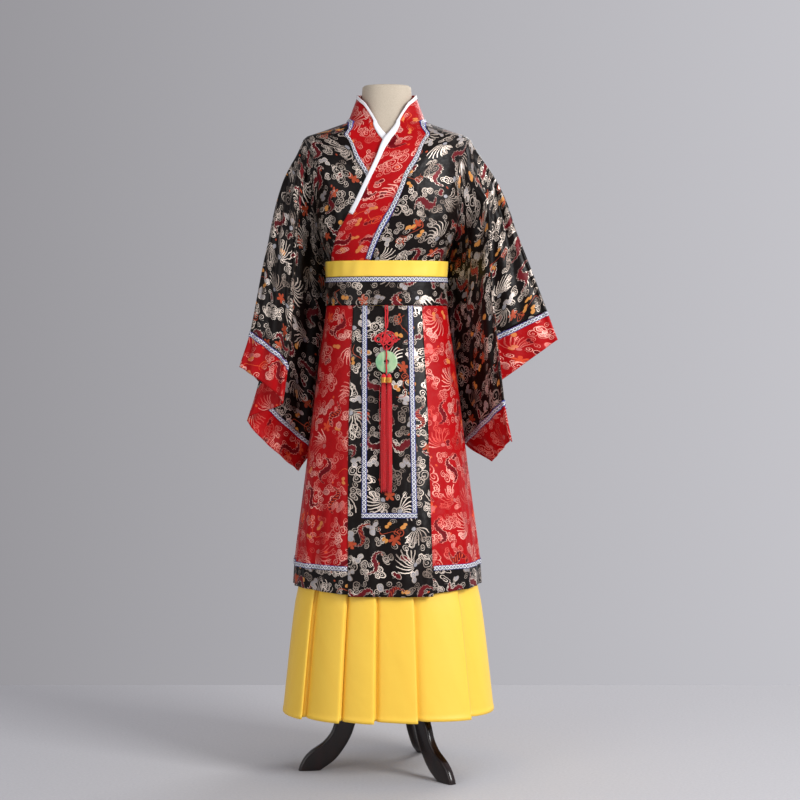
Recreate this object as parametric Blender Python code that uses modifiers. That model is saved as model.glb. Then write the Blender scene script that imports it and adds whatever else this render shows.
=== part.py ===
"""Ceremonial hanfu robe set on a limbless dress form with a three-legged wooden stand.

Metres, +Z up, the floor at z = 0. The front of the robe faces -Y, and the wearer's left is +X. Every cloth
piece is an open surface, worked out from a short table of sections, that Solidify gives its wall. A piece
that lies on another starts from the same surface, moved out.
"""

import math

import bmesh
import bpy
import numpy as np
from mathutils import Vector

# Cloth
CLOTH = 0.0015  # wall of a brocade or satin panel
RIBBON = 0.0010  # wall of the woven ribbon
SEAM = 0.0004  # gap between two pieces sewn edge to edge
LAY = 0.0006  # gap between a panel and what lies on it
LAP = 0.0052  # how far the over front stands out where it covers the under front
BACK_SEAM = 0.0015  # half the angle of the gap at the overskirt's centre back seam

# Heights
SHOULDER = 1.385
UNDERARM = 1.200
BELT_TOP, BELT_FOOT = 1.117, 1.0832
WAISTBAND_FOOT = 1.021
HEM_SEAM = 0.460
OVERSKIRT_HEM = 0.405  # beside the apron
HEM_RISE = 0.008  # and how much higher it is at the sides and back
APRON_HEM = 0.401
UNDERSKIRT_HEM = 0.134

FRONT, BACK = -math.pi / 2, math.pi / 2
POWER = 2.3  # of the superellipse that every body section follows
MODEL_CENTRE = (0.0275, 0.0070, 0.0)  # the middle of the whole model's footprint, moved to the origin

# Sections of the robe's inner face: height, half width, front depth, back depth
ROBE = np.array([
    (1.060, 0.1227, 0.0870, 0.0870),
    (1.098, 0.1227, 0.0870, 0.0870),
    (1.117, 0.1240, 0.0890, 0.0880),
    (1.135, 0.1310, 0.0950, 0.0920),
    (1.160, 0.1410, 0.1020, 0.0980),
    (1.200, 0.1520, 0.1080, 0.1020),
    (1.260, 0.1610, 0.1110, 0.1040),
    (1.310, 0.1670, 0.1050, 0.1020),
    (1.350, 0.1730, 0.0930, 0.0960),
    (1.375, 0.1770, 0.0800, 0.0860),
    (1.385, 0.1790, 0.0740, 0.0800),
    (1.400, 0.1400, 0.0690, 0.0750),
    (1.412, 0.1070, 0.0640, 0.0690),
    (1.420, 0.0865, 0.0600, 0.0650),
    (1.450, 0.0730, 0.0560, 0.0610),
    (1.487, 0.0595, 0.0525, 0.0570),
])
# Sections of the dress form
FORM = np.array([
    (0.860, 0.1100, 0.0800, 0.0850),
    (0.885, 0.1230, 0.0870, 0.0930),
    (0.940, 0.1260, 0.0890, 0.0950),
    (1.000, 0.1200, 0.0830, 0.0870),
    (1.060, 0.1165, 0.0810, 0.0815),
    (1.117, 0.1190, 0.0840, 0.0830),
    (1.200, 0.1420, 0.0980, 0.0930),
    (1.260, 0.1510, 0.1030, 0.0970),
    (1.310, 0.1570, 0.0980, 0.0955),
    (1.350, 0.1620, 0.0870, 0.0900),
    (1.375, 0.1650, 0.0765, 0.0815),
    (1.385, 0.1640, 0.0722, 0.0782),
    (1.400, 0.1384, 0.0674, 0.0734),
    (1.412, 0.1035, 0.0615, 0.0665),
    (1.420, 0.0810, 0.0570, 0.0620),
    (1.429, 0.0680, 0.0550, 0.0590),
    (1.450, 0.0570, 0.0500, 0.0540),
    (1.500, 0.0530, 0.0480, 0.0510),
])
# Sections of the overskirt's inner face
OVERSKIRT = np.array([
    (0.402, 0.2060, 0.1650, 0.1680),
    (0.462, 0.2020, 0.1620, 0.1650),
    (0.600, 0.1850, 0.1470, 0.1500),
    (0.750, 0.1662, 0.1280, 0.1310),
    (0.900, 0.1475, 0.1080, 0.1110),
    (1.021, 0.1309, 0.0925, 0.0935),
    (1.056, 0.1285, 0.0910, 0.0915),
])
# Sections through the inner fold lines of the pleated underskirt
UNDERSKIRT = np.array([
    (0.134, 0.2240, 0.1720, 0.1760),
    (0.370, 0.1975, 0.1540, 0.1570),
    (0.410, 0.1900, 0.1490, 0.1520),
    (0.600, 0.1735, 0.1355, 0.1385),
    (0.800, 0.1530, 0.1140, 0.1170),
    (1.000, 0.1288, 0.0898, 0.0908),
    (1.050, 0.1262, 0.0885, 0.0890),
])
# Knife pleats: the angles of their fold edges in degrees from +X, and how far each edge stands out, by
# height
FRONT_PLEATS = (-140.3, -113.2, -95.3, -77.0, -43.5)
SIDE_AND_BACK_PLEATS = (2.0, 22.0, 42.0, 62.5, 83.0, 104.0, 125.0, 145.5, 166.0)
PLEAT_DEPTH = np.array([(0.134, 0.0120), (0.370, 0.0095), (0.410, 0.0085), (0.800, 0.0020), (1.000, 0.0)])

# Collar band below the neck, wearer's left half: outer edge height and x, inner edge x and height
CHEST_COLLAR = np.array([
    (1.098, -0.0400, -0.1150, 1.098),
    (1.106, -0.0370, -0.1140, 1.118),
    (1.122, -0.0308, -0.1090, 1.150),
    (1.197, 0.0020, -0.0708, 1.232),
    (1.272, 0.0352, -0.0360, 1.306),
    (1.298, 0.0440, -0.0225, 1.336),
    (1.335, 0.0660, 0.0040, 1.392),
    (1.375, 0.0814, 0.0240, 1.424),
    (1.400, 0.0830, 0.0350, 1.443),
])
# Collar band round the neck: outer angle and height, inner angle and height
NECK_COLLAR = np.array([
    (-41, 1.4120, -52, 1.460),
    (-35, 1.4145, -38, 1.468),
    (-24, 1.4175, -20, 1.476),
    (0, 1.4200, 0, 1.481),
    (30, 1.4204, 30, 1.484),
    (60, 1.4204, 60, 1.486),
    (90, 1.4204, 90, 1.487),
])
GUARD_SHARE = 0.13  # of the collar's width that the white guard strip covers
RIBBON_SHARE = 0.125  # and that the ribbon covers
GUARD_FOOT = 1.184  # height of the collar's outer edge where the over guard strip ends
UNDER_COLLAR_FOOT = 1.197  # height where the covered half of the collar ends

# Sleeves: the lines that run from the armhole to the cuff's edge, as x, y and z at four places along the
# sleeve: upper, middle, cuff seam and cuff edge. They go round from the top edge down the front, over two
# folds, to the low edge beside the skirt, and up the back. "share" is each line's start at the armhole,
# counted 0 to 1 down the front and 1 to 2 up the back.
ALONG = (0.0, 0.27, 0.58, 0.83, 1.0)
RIGHT_SLEEVE = {
    "top edge": (0.00, (-0.225, -0.020, 1.281), (-0.261, -0.030, 1.130),
        (-0.294, -0.035, 0.964), (-0.319, -0.035, 0.887)),
    "front fold": (0.14, (-0.189, -0.072, 1.249), (-0.204, -0.072, 1.070),
        (-0.217, -0.066, 0.895), (-0.228, -0.060, 0.812)),
    "hidden fold": (0.24, (-0.211, -0.040, 1.219), (-0.242, -0.032, 1.023),
        (-0.282, -0.022, 0.839), (-0.305, -0.017, 0.771)),
    "low edge": (1.00, (-0.1330, 0.060, 1.100), (-0.139, 0.072, 0.925),
        (-0.167, 0.076, 0.712), (-0.198, 0.040, 0.656)),
    "back lower": (1.33, (-0.168, 0.074, 1.140), (-0.182, 0.080, 0.980),
        (-0.204, 0.070, 0.790), (-0.218, 0.050, 0.722)),
    "back upper": (1.70, (-0.208, 0.046, 1.240), (-0.238, 0.040, 1.082),
        (-0.262, 0.026, 0.905), (-0.270, 0.016, 0.842)),
}
LEFT_SLEEVE = {
    "top edge": (0.00, (0.242, 0.000, 1.283), (0.290, 0.000, 1.159),
        (0.349, 0.000, 1.008), (0.374, 0.000, 0.946)),
    "hidden fold": (0.16, (0.213, -0.022, 1.240), (0.216, -0.016, 1.115),
        (0.222, -0.012, 0.953), (0.235, -0.012, 0.849)),
    "front fold": (0.26, (0.219, -0.066, 1.226), (0.226, -0.070, 1.066),
        (0.253, -0.064, 0.813), (0.270, -0.058, 0.728)),
    "low edge": (1.00, (0.1330, 0.060, 1.100), (0.139, 0.072, 0.925),
        (0.172, 0.074, 0.722), (0.234, 0.030, 0.678)),
    "back lower": (1.33, (0.168, 0.074, 1.140), (0.186, 0.080, 0.985),
        (0.214, 0.068, 0.795), (0.244, 0.046, 0.742)),
    "back upper": (1.70, (0.214, 0.050, 1.245), (0.240, 0.046, 1.110),
        (0.248, 0.036, 0.955), (0.254, 0.028, 0.866)),
}
FOLD_GAP = 0.011  # between the two layers at a fold's nose

# Dress form stand
STAND_X = 0.014  # the stand's axis: the form was put on it a little off centre
STEM_RADIUS = 0.0125
HUB_RADIUS, HUB_FOOT, HUB_TOP = 0.032, 0.150, 0.222
LEG_ANGLES = (188, -52, 68)
LEG_THICKNESS = 0.020
# Leg outline: distance from the stem and height, down its upper edge and up its lower edge
LEG_UPPER = ((0.030, 0.215), (0.068, 0.195), (0.103, 0.155), (0.125, 0.112), (0.1355, 0.084), (0.152, 0.063),
             (0.182, 0.042), (0.197, 0.026), (0.206, 0.008), (0.208, 0.0))
LEG_LOWER = ((0.159, 0.0), (0.128, 0.022), (0.109, 0.045), (0.092, 0.074), (0.0785, 0.110), (0.057, 0.145),
             (0.030, 0.160))

# Pendant, hung in front of the apron
CORD_RADIUS = 0.0016
KNOT_TOP, KNOT_FOOT, KNOT_HALF_WIDTH, KNOT_THICKNESS = 0.972, 0.925, 0.0265, 0.006
RING_HEIGHT, RING_RADIUS, RING_HOLE, RING_THICKNESS = 0.900, 0.0235, 0.0052, 0.005
HEAD_TOP, HEAD_FOOT = 0.875, 0.855
HEAD_HALF_WIDTH, HEAD_HALF_DEPTH = 0.0118, 0.0060  # two bundles side by side
HEAD_AHEAD = 0.0085  # from the apron to the tassel's axis
STRAND_FOOT = 0.617
STRANDS_ACROSS, STRANDS_DEEP = 7, 4
STRAND_STEPS = 3

COLOURS = {
    "black brocade": (0.020, 0.015, 0.013, 0.42),
    "red brocade": (0.600, 0.018, 0.025, 0.42),
    "yellow satin": (0.900, 0.520, 0.030, 0.38),
    "white cotton": (0.850, 0.850, 0.860, 0.70),
    "woven ribbon": (0.420, 0.450, 0.700, 0.60),
    "form cloth": (0.800, 0.760, 0.700, 0.80),
    "dark wood": (0.030, 0.012, 0.010, 0.25),
    "red cord": (0.550, 0.010, 0.015, 0.55),
    "jade": (0.300, 0.560, 0.380, 0.25),
    "gold thread": (0.830, 0.560, 0.180, 0.35),
}


def smooth(at, rows, x):
    """Cubic through the rows of a table that never overshoots: a row's slope is the harmonic mean of its
    neighbours' slopes, and 0 where they turn."""
    at, rows, x = np.asarray(at, float), np.asarray(rows, float), np.asarray(x, float)
    step = np.diff(at)
    rise = np.diff(rows, axis=0) / step.reshape(-1, *[1] * (rows.ndim - 1))
    total = rise[:-1] + rise[1:]
    same_way = rise[:-1] * rise[1:] > 0
    inner = np.where(same_way, 2 * rise[:-1] * rise[1:] / np.where(same_way, total, 1.0), 0.0)
    slope = np.concatenate([rise[:1], inner, rise[-1:]])
    i = np.clip(np.searchsorted(at, x, side="right") - 1, 0, len(step) - 1)
    spread = x.shape + (1,) * (rows.ndim - 1)
    t, h = ((x - at[i]) / step[i]).reshape(spread), step[i].reshape(spread)
    return (rows[i] * (2 * t**3 - 3 * t**2 + 1) + slope[i] * h * (t**3 - 2 * t**2 + t)
            + rows[i + 1] * (3 * t**2 - 2 * t**3) + slope[i + 1] * h * (t**3 - t**2))


def ease(x):
    """0 to 1 with a soft start and end."""
    x = np.clip(x, 0.0, 1.0)
    return x * x * (3 - 2 * x)


def body(table, angle, height, out=0.0):
    """Points on a body surface: a superellipse whose half width, front and back depth come from the table
    at each height, all made larger by out. Angle 0 is the wearer's left side, -90 degrees the front."""
    angle, height = np.broadcast_arrays(angle, height)
    wide, front, back = np.moveaxis(smooth(table[:, 0], table[:, 1:], height), -1, 0)
    c, s = np.cos(angle), np.sin(angle)
    x = (wide + out) * np.sign(c) * np.abs(c) ** (2 / POWER)
    y = (np.where(s < 0, front, back) + out) * np.sign(s) * np.abs(s) ** (2 / POWER)
    return np.stack([x, y, height], axis=-1)


def front_angle(table, x, height):
    """The angle at which the front of a body surface has the given x."""
    wide = smooth(table[:, 0], table[:, 1], height)
    share = np.clip(np.asarray(x) / wide, -1, 1)
    return -np.arccos(np.sign(share) * np.abs(share) ** (POWER / 2))


def grid_mesh(name, grid, closed):
    """A quad mesh over rows and columns of points, its faces pointing away from each row's middle."""
    rows, columns = grid.shape[:2]
    number = np.arange(rows * columns).reshape(rows, columns)
    across = np.concatenate([number, number[:, :1]], axis=1) if closed else number
    quads = np.stack([across[:-1, :-1], across[:-1, 1:], across[1:, 1:], across[1:, :-1]], -1).reshape(-1, 4)
    points = grid.reshape(-1, 3)
    corner = points[quads]
    normal = np.cross(corner[:, 2] - corner[:, 0], corner[:, 3] - corner[:, 1])
    if closed:
        middle = np.repeat(grid.mean(1), across.shape[1] - 1, axis=0)[: (rows - 1) * columns]
    else:
        middle = np.stack([0 * corner[:, 0, 0], 0 * corner[:, 0, 0], corner[:, 0, 2]], -1)
    if (normal * (corner.mean(1) - middle)).sum() < 0:
        quads = quads[:, ::-1]
    mesh = bpy.data.meshes.new(name)
    mesh.from_pydata(points.tolist(), [], quads.tolist())
    mesh.update()
    return mesh


def moved_out(grid, distance, closed=False):
    """The grid's points moved out along the surface's normals, as Solidify moves them."""
    mesh = grid_mesh("guide", grid, closed)
    bm = bmesh.new()
    bm.from_mesh(mesh)
    bpy.data.meshes.remove(mesh)
    bm.verts.ensure_lookup_table()
    push = np.array([v.normal for v in bm.verts]).reshape(grid.shape)
    bm.free()
    return grid + push * distance


def finish(obj, colour, smooth_faces=True):
    """Puts an object in the model with its material, under the root."""
    obj.data.materials.append(materials[colour])
    collection.objects.link(obj)
    obj.parent = root
    if smooth_faces and obj.type == "MESH":
        obj.data.shade_smooth()
        obj.data.set_sharp_from_angle(angle=math.radians(35))
    return obj


def cloth(name, grid, colour, thick=CLOTH, closed=False):
    """A cloth wall: the grid is its inner face, and Solidify thickens it outwards."""
    obj = bpy.data.objects.new(name, grid_mesh(name, grid, closed))
    wall = obj.modifiers.new("wall", "SOLIDIFY")
    wall.thickness, wall.offset = thick, 1.0
    return finish(obj, colour)


def solid(name, bm, colour):
    """An object from a closed bmesh."""
    mesh = bpy.data.meshes.new(name)
    bmesh.ops.recalc_face_normals(bm, faces=bm.faces)
    bm.to_mesh(mesh)
    bm.free()
    return finish(bpy.data.objects.new(name, mesh), colour)


def cord(name, points, radius, colour):
    """A round cord along a list of points."""
    curve = bpy.data.curves.new(name, "CURVE")
    curve.dimensions, curve.bevel_depth, curve.bevel_resolution, curve.use_fill_caps = "3D", radius, 1, True
    line = curve.splines.new("POLY")
    line.points.add(len(points) - 1)
    for spot, point in zip(line.points, points):
        spot.co = (*point, 1.0)
    return finish(bpy.data.objects.new(name, curve), colour)


def band(table, foot, top, out, columns=40, rows=2):
    """Rows of a full ring on a body surface, from the given height up."""
    angle = np.linspace(0, 2 * math.pi, columns, endpoint=False)
    return body(table, angle[None], np.linspace(foot, top, rows)[:, None], out)


def armhole(side_height):
    """Half the armhole's depth in y at each height: 0 at the underarm and at the shoulder's corner."""
    share = np.clip((side_height - UNDERARM) / (SHOULDER - UNDERARM), 0, 1)
    return 0.058 * np.sin(math.pi * share) ** 0.75


ROBE_ROWS = np.array([1.060, 1.117, 1.135, 1.160, 1.200, 1.228, 1.260, 1.295, 1.330, 1.360, 1.385, 1.400,
                      1.412, 1.4145, 1.4175, 1.4195])


def side_angles(heights):
    """The angles, before and behind the side, where the front and back panels end at each height."""
    front, back = smooth(ROBE[:, 0], ROBE[:, 2:], heights).T
    gap = SEAM / 2
    before = np.arcsin(((armhole(heights) + gap) / front) ** (POWER / 2))
    behind = np.arcsin(((armhole(heights) + gap) / back) ** (POWER / 2))
    return before, behind


def lap(angle, height):
    """How far the over front stands out: nothing at the side and the shoulder, LAP over the under front."""
    return LAP * ease(-angle / math.radians(50)) * ease((1.425 - height) / 0.04)


def collar_edges(outer_heights):
    """Angles and heights of the left collar half's outer and inner edge, from its foot up to the neck's
    side, for the given heights of the outer edge."""
    chest = np.column_stack([
        front_angle(ROBE, CHEST_COLLAR[:, 1], CHEST_COLLAR[:, 0]), CHEST_COLLAR[:, 0],
        front_angle(ROBE, CHEST_COLLAR[:, 2], CHEST_COLLAR[:, 3]), CHEST_COLLAR[:, 3]])
    neck = NECK_COLLAR[:4].astype(float)
    neck[:, [0, 2]] = np.radians(neck[:, [0, 2]])
    rows = np.concatenate([chest, neck])
    return smooth(rows[:, 1], rows, outer_heights)


def collar_rows(foot):
    """The same edges from the foot to the centre back."""
    heights = [foot, foot + 0.008, BELT_TOP + 0.001, GUARD_FOOT, *ROBE_ROWS[1:], NECK_COLLAR[3, 1]]
    heights = np.unique([height for height in heights if height >= foot])
    behind = NECK_COLLAR[4:].astype(float)
    behind[:, [0, 2]] = np.radians(behind[:, [0, 2]])
    behind[-1, [0, 2]] -= 0.003
    return np.concatenate([collar_edges(heights), behind])


def collar_grid(rows, across, lapped):
    """Points of the collar band on the robe's surface: across counts from its outer edge, 0, to its inner
    edge, 1. The over half rides on the lap."""
    angle = rows[:, :1] + (rows[:, 2:3] - rows[:, :1]) * across
    height = rows[:, 1:2] + (rows[:, 3:4] - rows[:, 1:2]) * across
    return body(ROBE, angle, height, lap(angle, height) if lapped else 0.0)


def mirrored(grid):
    return grid * np.array([-1.0, 1.0, 1.0])


def make_robe():
    """Back and two fronts, which meet at the side and shoulder seams and leave the armholes open."""
    before, behind = side_angles(ROBE_ROWS)
    share = np.linspace(0, 1, 19)
    back = behind[:, None] + (math.pi - 2 * behind[:, None]) * share
    cloth("robe_back", body(ROBE, back, ROBE_ROWS[:, None]), "black brocade")
    rows = ROBE_ROWS[:-1]
    edge = np.where(rows < CHEST_COLLAR[0, 0], front_angle(ROBE, -0.052, rows), collar_edges(rows)[:, 0])
    edge = edge + SEAM / 0.12
    share = np.linspace(0, 1, 12)
    angle = -before[:-1, None] + (edge[:, None] + before[:-1, None]) * share
    cloth("robe_front_left", body(ROBE, angle, rows[:, None], lap(angle, rows[:, None])), "black brocade")
    cloth("robe_front_right", mirrored(body(ROBE, angle, rows[:, None])), "black brocade")


def make_collar():
    """Red band, white guard strip and ribbon for each half. The left half laps over the right one."""
    for side, foot, guard_foot, lapped in (("left", CHEST_COLLAR[0, 0], GUARD_FOOT, True),
                                           ("right", UNDER_COLLAR_FOOT, UNDER_COLLAR_FOOT, False)):
        turn = (lambda grid: grid) if side == "left" else mirrored
        rows = collar_rows(foot)
        width = np.array([SEAM / 0.08, RIBBON_SHARE, 0.36, 0.6, 1 - GUARD_SHARE, 1.0])
        red = turn(collar_grid(rows, width, lapped))
        above = moved_out(red, CLOTH + LAY)
        cloth(f"collar_{side}", red, "red brocade")
        cloth(f"collar_guard_{side}", above[rows[:, 1] >= guard_foot, -2:], "white cotton", RIBBON)
        cloth(f"collar_ribbon_{side}", above[rows[:, 1] > BELT_TOP, :2], "woven ribbon", RIBBON)


def sleeve_lines(lines):
    """The sleeve's guide lines in order, each fold as two lines FOLD_GAP apart, so that its nose is round.
    Returns each line's share of the armhole and its points at the four places."""
    shares, points = [], []
    for name, (share, *places) in lines.items():
        places = np.array(places)
        if "fold" not in name:
            shares.append(share)
            points.append(places)
            continue
        apart = np.array([0, -FOLD_GAP / 2, FOLD_GAP / 3]) * np.array([0.7, 1.0, 1.0, 1.0])[:, None]
        nearer_first = list(lines)[1] == "front fold"
        for nearer, step in ((nearer_first, -0.02), (not nearer_first, 0.02)):
            shares.append(share + step)
            points.append(places + apart * (1 if nearer else -1))
    return np.array(shares), np.array(points)


def sleeve_grid(side, lines, along):
    """Points of a sleeve: columns go round through the guide lines, rows from the armhole to the cuff."""
    shares, points = sleeve_lines(lines)
    steps = np.array([5, 1, 3, 1, 6, 3, 4, 4])
    knots = np.concatenate([[0], np.cumsum(steps)])
    closed_points = np.concatenate([points[-2:], points, points[:3]])
    closed_knots = np.concatenate([knots[-3:-1] - knots[-1], knots[:-1], knots[-1] + knots[:3]])
    column = np.arange(knots[-1])
    places = smooth(closed_knots, closed_points, column)
    start = np.interp(column, knots, np.concatenate([np.sort(shares), [2.0]]))
    rim, places = armhole_rim(side, start), places.transpose(1, 0, 2)
    near = rim + 0.26 * (places[0] - rim)  # a first step that stays clear of the body below the armhole
    near[:, 0] = side * np.maximum(side * near[:, 0], side * rim[:, 0] + 0.003)
    return smooth((0.0, 0.07, *ALONG[1:]), np.concatenate([rim[None], near[None], places]), along)


def armhole_rim(side, start):
    """Points just outside the armhole's edge: start runs 0 to 1 down its front and 1 to 2 up its back."""
    heights = ROBE_ROWS[(ROBE_ROWS >= UNDERARM - 0.001) & (ROBE_ROWS <= SHOULDER + 0.001)]
    before, behind = side_angles(heights)
    front = body(ROBE, -before, heights, lap(-before, heights) if side > 0 else 0.0)[::-1]
    loop = np.concatenate([front, body(ROBE, behind, heights)[1:]])
    run = np.concatenate([[0], np.cumsum(np.linalg.norm(np.diff(loop, axis=0), axis=1))])
    half = run[len(front) - 1]
    at = np.where(start < 1, start * half, half + (start - 1) * (run[-1] - half))
    rim = np.stack([np.interp(at, run, loop[:, k]) for k in range(3)], -1)
    inward = (rim.mean(0) - rim) * np.array([0, 1, 1])
    inward /= np.linalg.norm(inward, axis=1)[:, None]
    return (rim + inward * SEAM + np.array([2.6 * CLOTH, 0, 0])) * np.array([side, 1, 1])


def make_sleeves():
    """Each sleeve, its red cuff band, and the ribbon over the seam between them."""
    seam = ALONG[3]
    for side, name, lines in ((1, "left", LEFT_SLEEVE), (-1, "right", RIGHT_SLEEVE)):
        upper = np.array([0, 0.06, 0.14, 0.27, 0.42, 0.58, 0.71, seam - 0.001])
        cloth(f"sleeve_{name}", sleeve_grid(side, lines, upper), "black brocade", closed=True)
        lower = np.array([seam + 0.001, seam + 0.025, 0.92, 1.0])
        cuff = sleeve_grid(side, lines, lower)
        cloth(f"cuff_{name}", cuff, "red brocade", closed=True)
        ribbon = moved_out(cuff, CLOTH + LAY, closed=True)[:2]
        cloth(f"cuff_ribbon_{name}", ribbon, "woven ribbon", RIBBON, closed=True)


def make_waist():
    """Black waistband, the ribbon along its top, and the yellow belt above."""
    angle = np.linspace(0, 2 * math.pi, 40, endpoint=False)
    foot, middle, top = WAISTBAND_FOOT, 1.050, BELT_FOOT - SEAM
    surface = np.stack([body(OVERSKIRT, angle, foot, 0.0024), body(OVERSKIRT, angle, middle, 0.0034),
                        body(ROBE, angle, top, 0.0078)])
    cloth("waistband", surface, "black brocade", closed=True)
    ribbon = surface[1:2] + (surface[2:] - surface[1:2]) * np.array([0.67, 0.97])[:, None, None]
    cloth("waist_ribbon", moved_out(ribbon, CLOTH + LAY, closed=True), "woven ribbon", RIBBON, closed=True)
    cloth("belt", band(ROBE, BELT_FOOT, BELT_TOP, 0.0086), "yellow satin", closed=True)


def overskirt(angle, height, out=0.0):
    """The overskirt's surface, with long soft flutes that grow towards the hem."""
    flute = 0.0028 * np.sin(9 * angle + 0.6) * ease((1.0 - height) / 0.55)
    return body(OVERSKIRT, angle, height, out + flute)


def make_overskirt():
    """Two red panels that meet at the centre back and run under the apron's edges, and black hem bands."""
    tops = np.array([HEM_SEAM + SEAM, 0.560, 0.680, 0.800, 0.920, WAISTBAND_FOOT, 1.056])[:, None]
    rise = HEM_RISE * ease(np.linspace(0, 1, 20) / 0.35)
    lows = np.stack([OVERSKIRT_HEM + rise, np.full(20, HEM_SEAM)])
    middle = np.array([HEM_SEAM - 0.0045, HEM_SEAM + 0.0055])[:, None]

    def panel(side, rows, start):
        """From the given distance beside the centre line round the side to the centre back seam."""
        first = front_angle(OVERSKIRT, start, rows[:, :1])
        angle = first + (BACK - BACK_SEAM - first) * np.linspace(0, 1, 20)
        return overskirt(angle if side == "left" else math.pi - angle, rows)

    for side, ribbon_start in (("left", 0.0985), ("right", 0.0820)):
        cloth(f"skirt_panel_{side}", panel(side, tops, 0.050), "red brocade")
        cloth(f"hem_band_{side}", panel(side, lows, 0.050), "black brocade")
        ribbon = moved_out(panel(side, middle, ribbon_start), CLOTH + 2 * LAY)
        cloth(f"hem_ribbon_{side}", ribbon, "woven ribbon", RIBBON)


APRON_ROWS = np.array([APRON_HEM, HEM_SEAM, 0.560, 0.680, 0.800, 0.920, WAISTBAND_FOOT - 0.001])


def make_apron():
    """Black centre apron over the panels, with a U of ribbon."""
    rows = APRON_ROWS[:, None]
    half = smooth([0.400, 0.760, 1.020], [0.0890, 0.0840, 0.0730], rows)
    centre = np.interp(rows, [0.400, 1.020], [0.008, 0.002])
    grid = overskirt(front_angle(OVERSKIRT, centre + half * np.linspace(-1, 1, 13), rows), rows)
    cloth("skirt_apron", moved_out(grid, CLOTH + LAY), "black brocade")
    width, foot = 0.0105, 0.568
    heights = np.array([foot, foot + width, 0.680, 0.800, 0.920, WAISTBAND_FOOT - 0.001])[:, None]
    centre = np.interp(heights, [foot, 1.020], [0.006, 0.002])
    outer = np.interp(heights, [foot, 1.020], [0.0580, 0.0535])
    for name, side in (("left", 1), ("right", -1)):
        x = centre + side * (outer - width * np.array([1, 0]))
        rail = overskirt(front_angle(OVERSKIRT, x[1:], heights[1:]), heights[1:])
        cloth(f"apron_ribbon_{name}", moved_out(rail, 2 * (CLOTH + LAY)), "woven ribbon", RIBBON)
    x = (centre + outer * np.linspace(-1, 1, 13))[:2]
    bar = overskirt(front_angle(OVERSKIRT, x, heights[:2]), heights[:2] - SEAM)
    cloth("apron_ribbon_foot", moved_out(bar, 2 * (CLOTH + LAY)), "woven ribbon", RIBBON)


def make_underskirt():
    """Knife pleats all round: the surface swings out to each fold edge and drops back behind it."""
    edges = np.array([*FRONT_PLEATS, *SIDE_AND_BACK_PLEATS, FRONT_PLEATS[0] + 360])
    share = np.array([0.0, 0.40, 0.80, 0.94])
    stand = np.array([0.0, 0.55, 0.92, 1.0])
    angle = np.radians((edges[:-1, None] + np.diff(edges)[:, None] * (share + 0.06)).ravel())
    stand = np.tile(stand, len(edges) - 1)
    rows = np.array([UNDERSKIRT_HEM, 0.370, 0.410, 0.600, 0.800, 1.000, 1.050])
    depth = np.interp(rows, PLEAT_DEPTH[:, 0], PLEAT_DEPTH[:, 1])
    cloth("underskirt", body(UNDERSKIRT, angle[None], rows[:, None], depth[:, None] * stand), "yellow satin",
          closed=True)


def make_form():
    """The padded torso with its neck: one closed solid."""
    angle = np.linspace(0, 2 * math.pi, 26, endpoint=False)
    grid = body(FORM, angle[None], FORM[:, 0][:, None])
    mesh = grid_mesh("form_torso", grid, True)
    bm = bmesh.new()
    bm.from_mesh(mesh)
    bpy.data.meshes.remove(mesh)
    bmesh.ops.holes_fill(bm, edges=[e for e in bm.edges if e.is_boundary])
    solid("form_torso", bm, "form cloth")


def cylinder(name, radius, foot, top, sides, colour):
    """An upright cylinder on the stand's axis."""
    bm = bmesh.new()
    bmesh.ops.create_cone(bm, cap_ends=True, segments=sides, radius1=radius, radius2=radius, depth=top - foot)
    solid(name, bm, colour).location = (STAND_X, 0, (top + foot) / 2)


def make_stand():
    """Stem, hub and three sawn legs."""
    cylinder("form_stem", STEM_RADIUS, HUB_TOP + SEAM, FORM[0, 0] - SEAM, 16, "dark wood")
    cylinder("form_hub", HUB_RADIUS, HUB_FOOT, HUB_TOP, 24, "dark wood")
    outline = [smooth(range(len(edge)), edge, np.linspace(0, len(edge) - 1, count))
               for edge, count in ((LEG_UPPER, 17), (LEG_LOWER, 12))]
    for number, degrees in enumerate(LEG_ANGLES, 1):
        curve = bpy.data.curves.new(f"form_leg_{number}", "CURVE")
        curve.dimensions, curve.fill_mode, curve.extrude = "2D", "BOTH", LEG_THICKNESS / 2
        line = curve.splines.new("POLY")
        spots = np.concatenate(outline)
        line.points.add(len(spots) - 1)
        for spot, (away, height) in zip(line.points, spots):
            spot.co = (away - LEG_UPPER[0][0] + HUB_RADIUS + SEAM, height, 0, 1)
        line.use_cyclic_u = True
        leg = bpy.data.objects.new(f"form_leg_{number}", curve)
        leg.rotation_euler = (math.pi / 2, 0, math.radians(degrees))
        leg.location.x = STAND_X
        finish(leg, "dark wood")


def pendant_y(height, before):
    """The y of a point the given distance in front of the apron's outer face, on the centre line."""
    face = overskirt(np.full(len(APRON_ROWS), FRONT), APRON_ROWS, 2 * CLOTH + 2 * LAY)[:, 1]
    return np.interp(height, APRON_ROWS, face) - before


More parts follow.
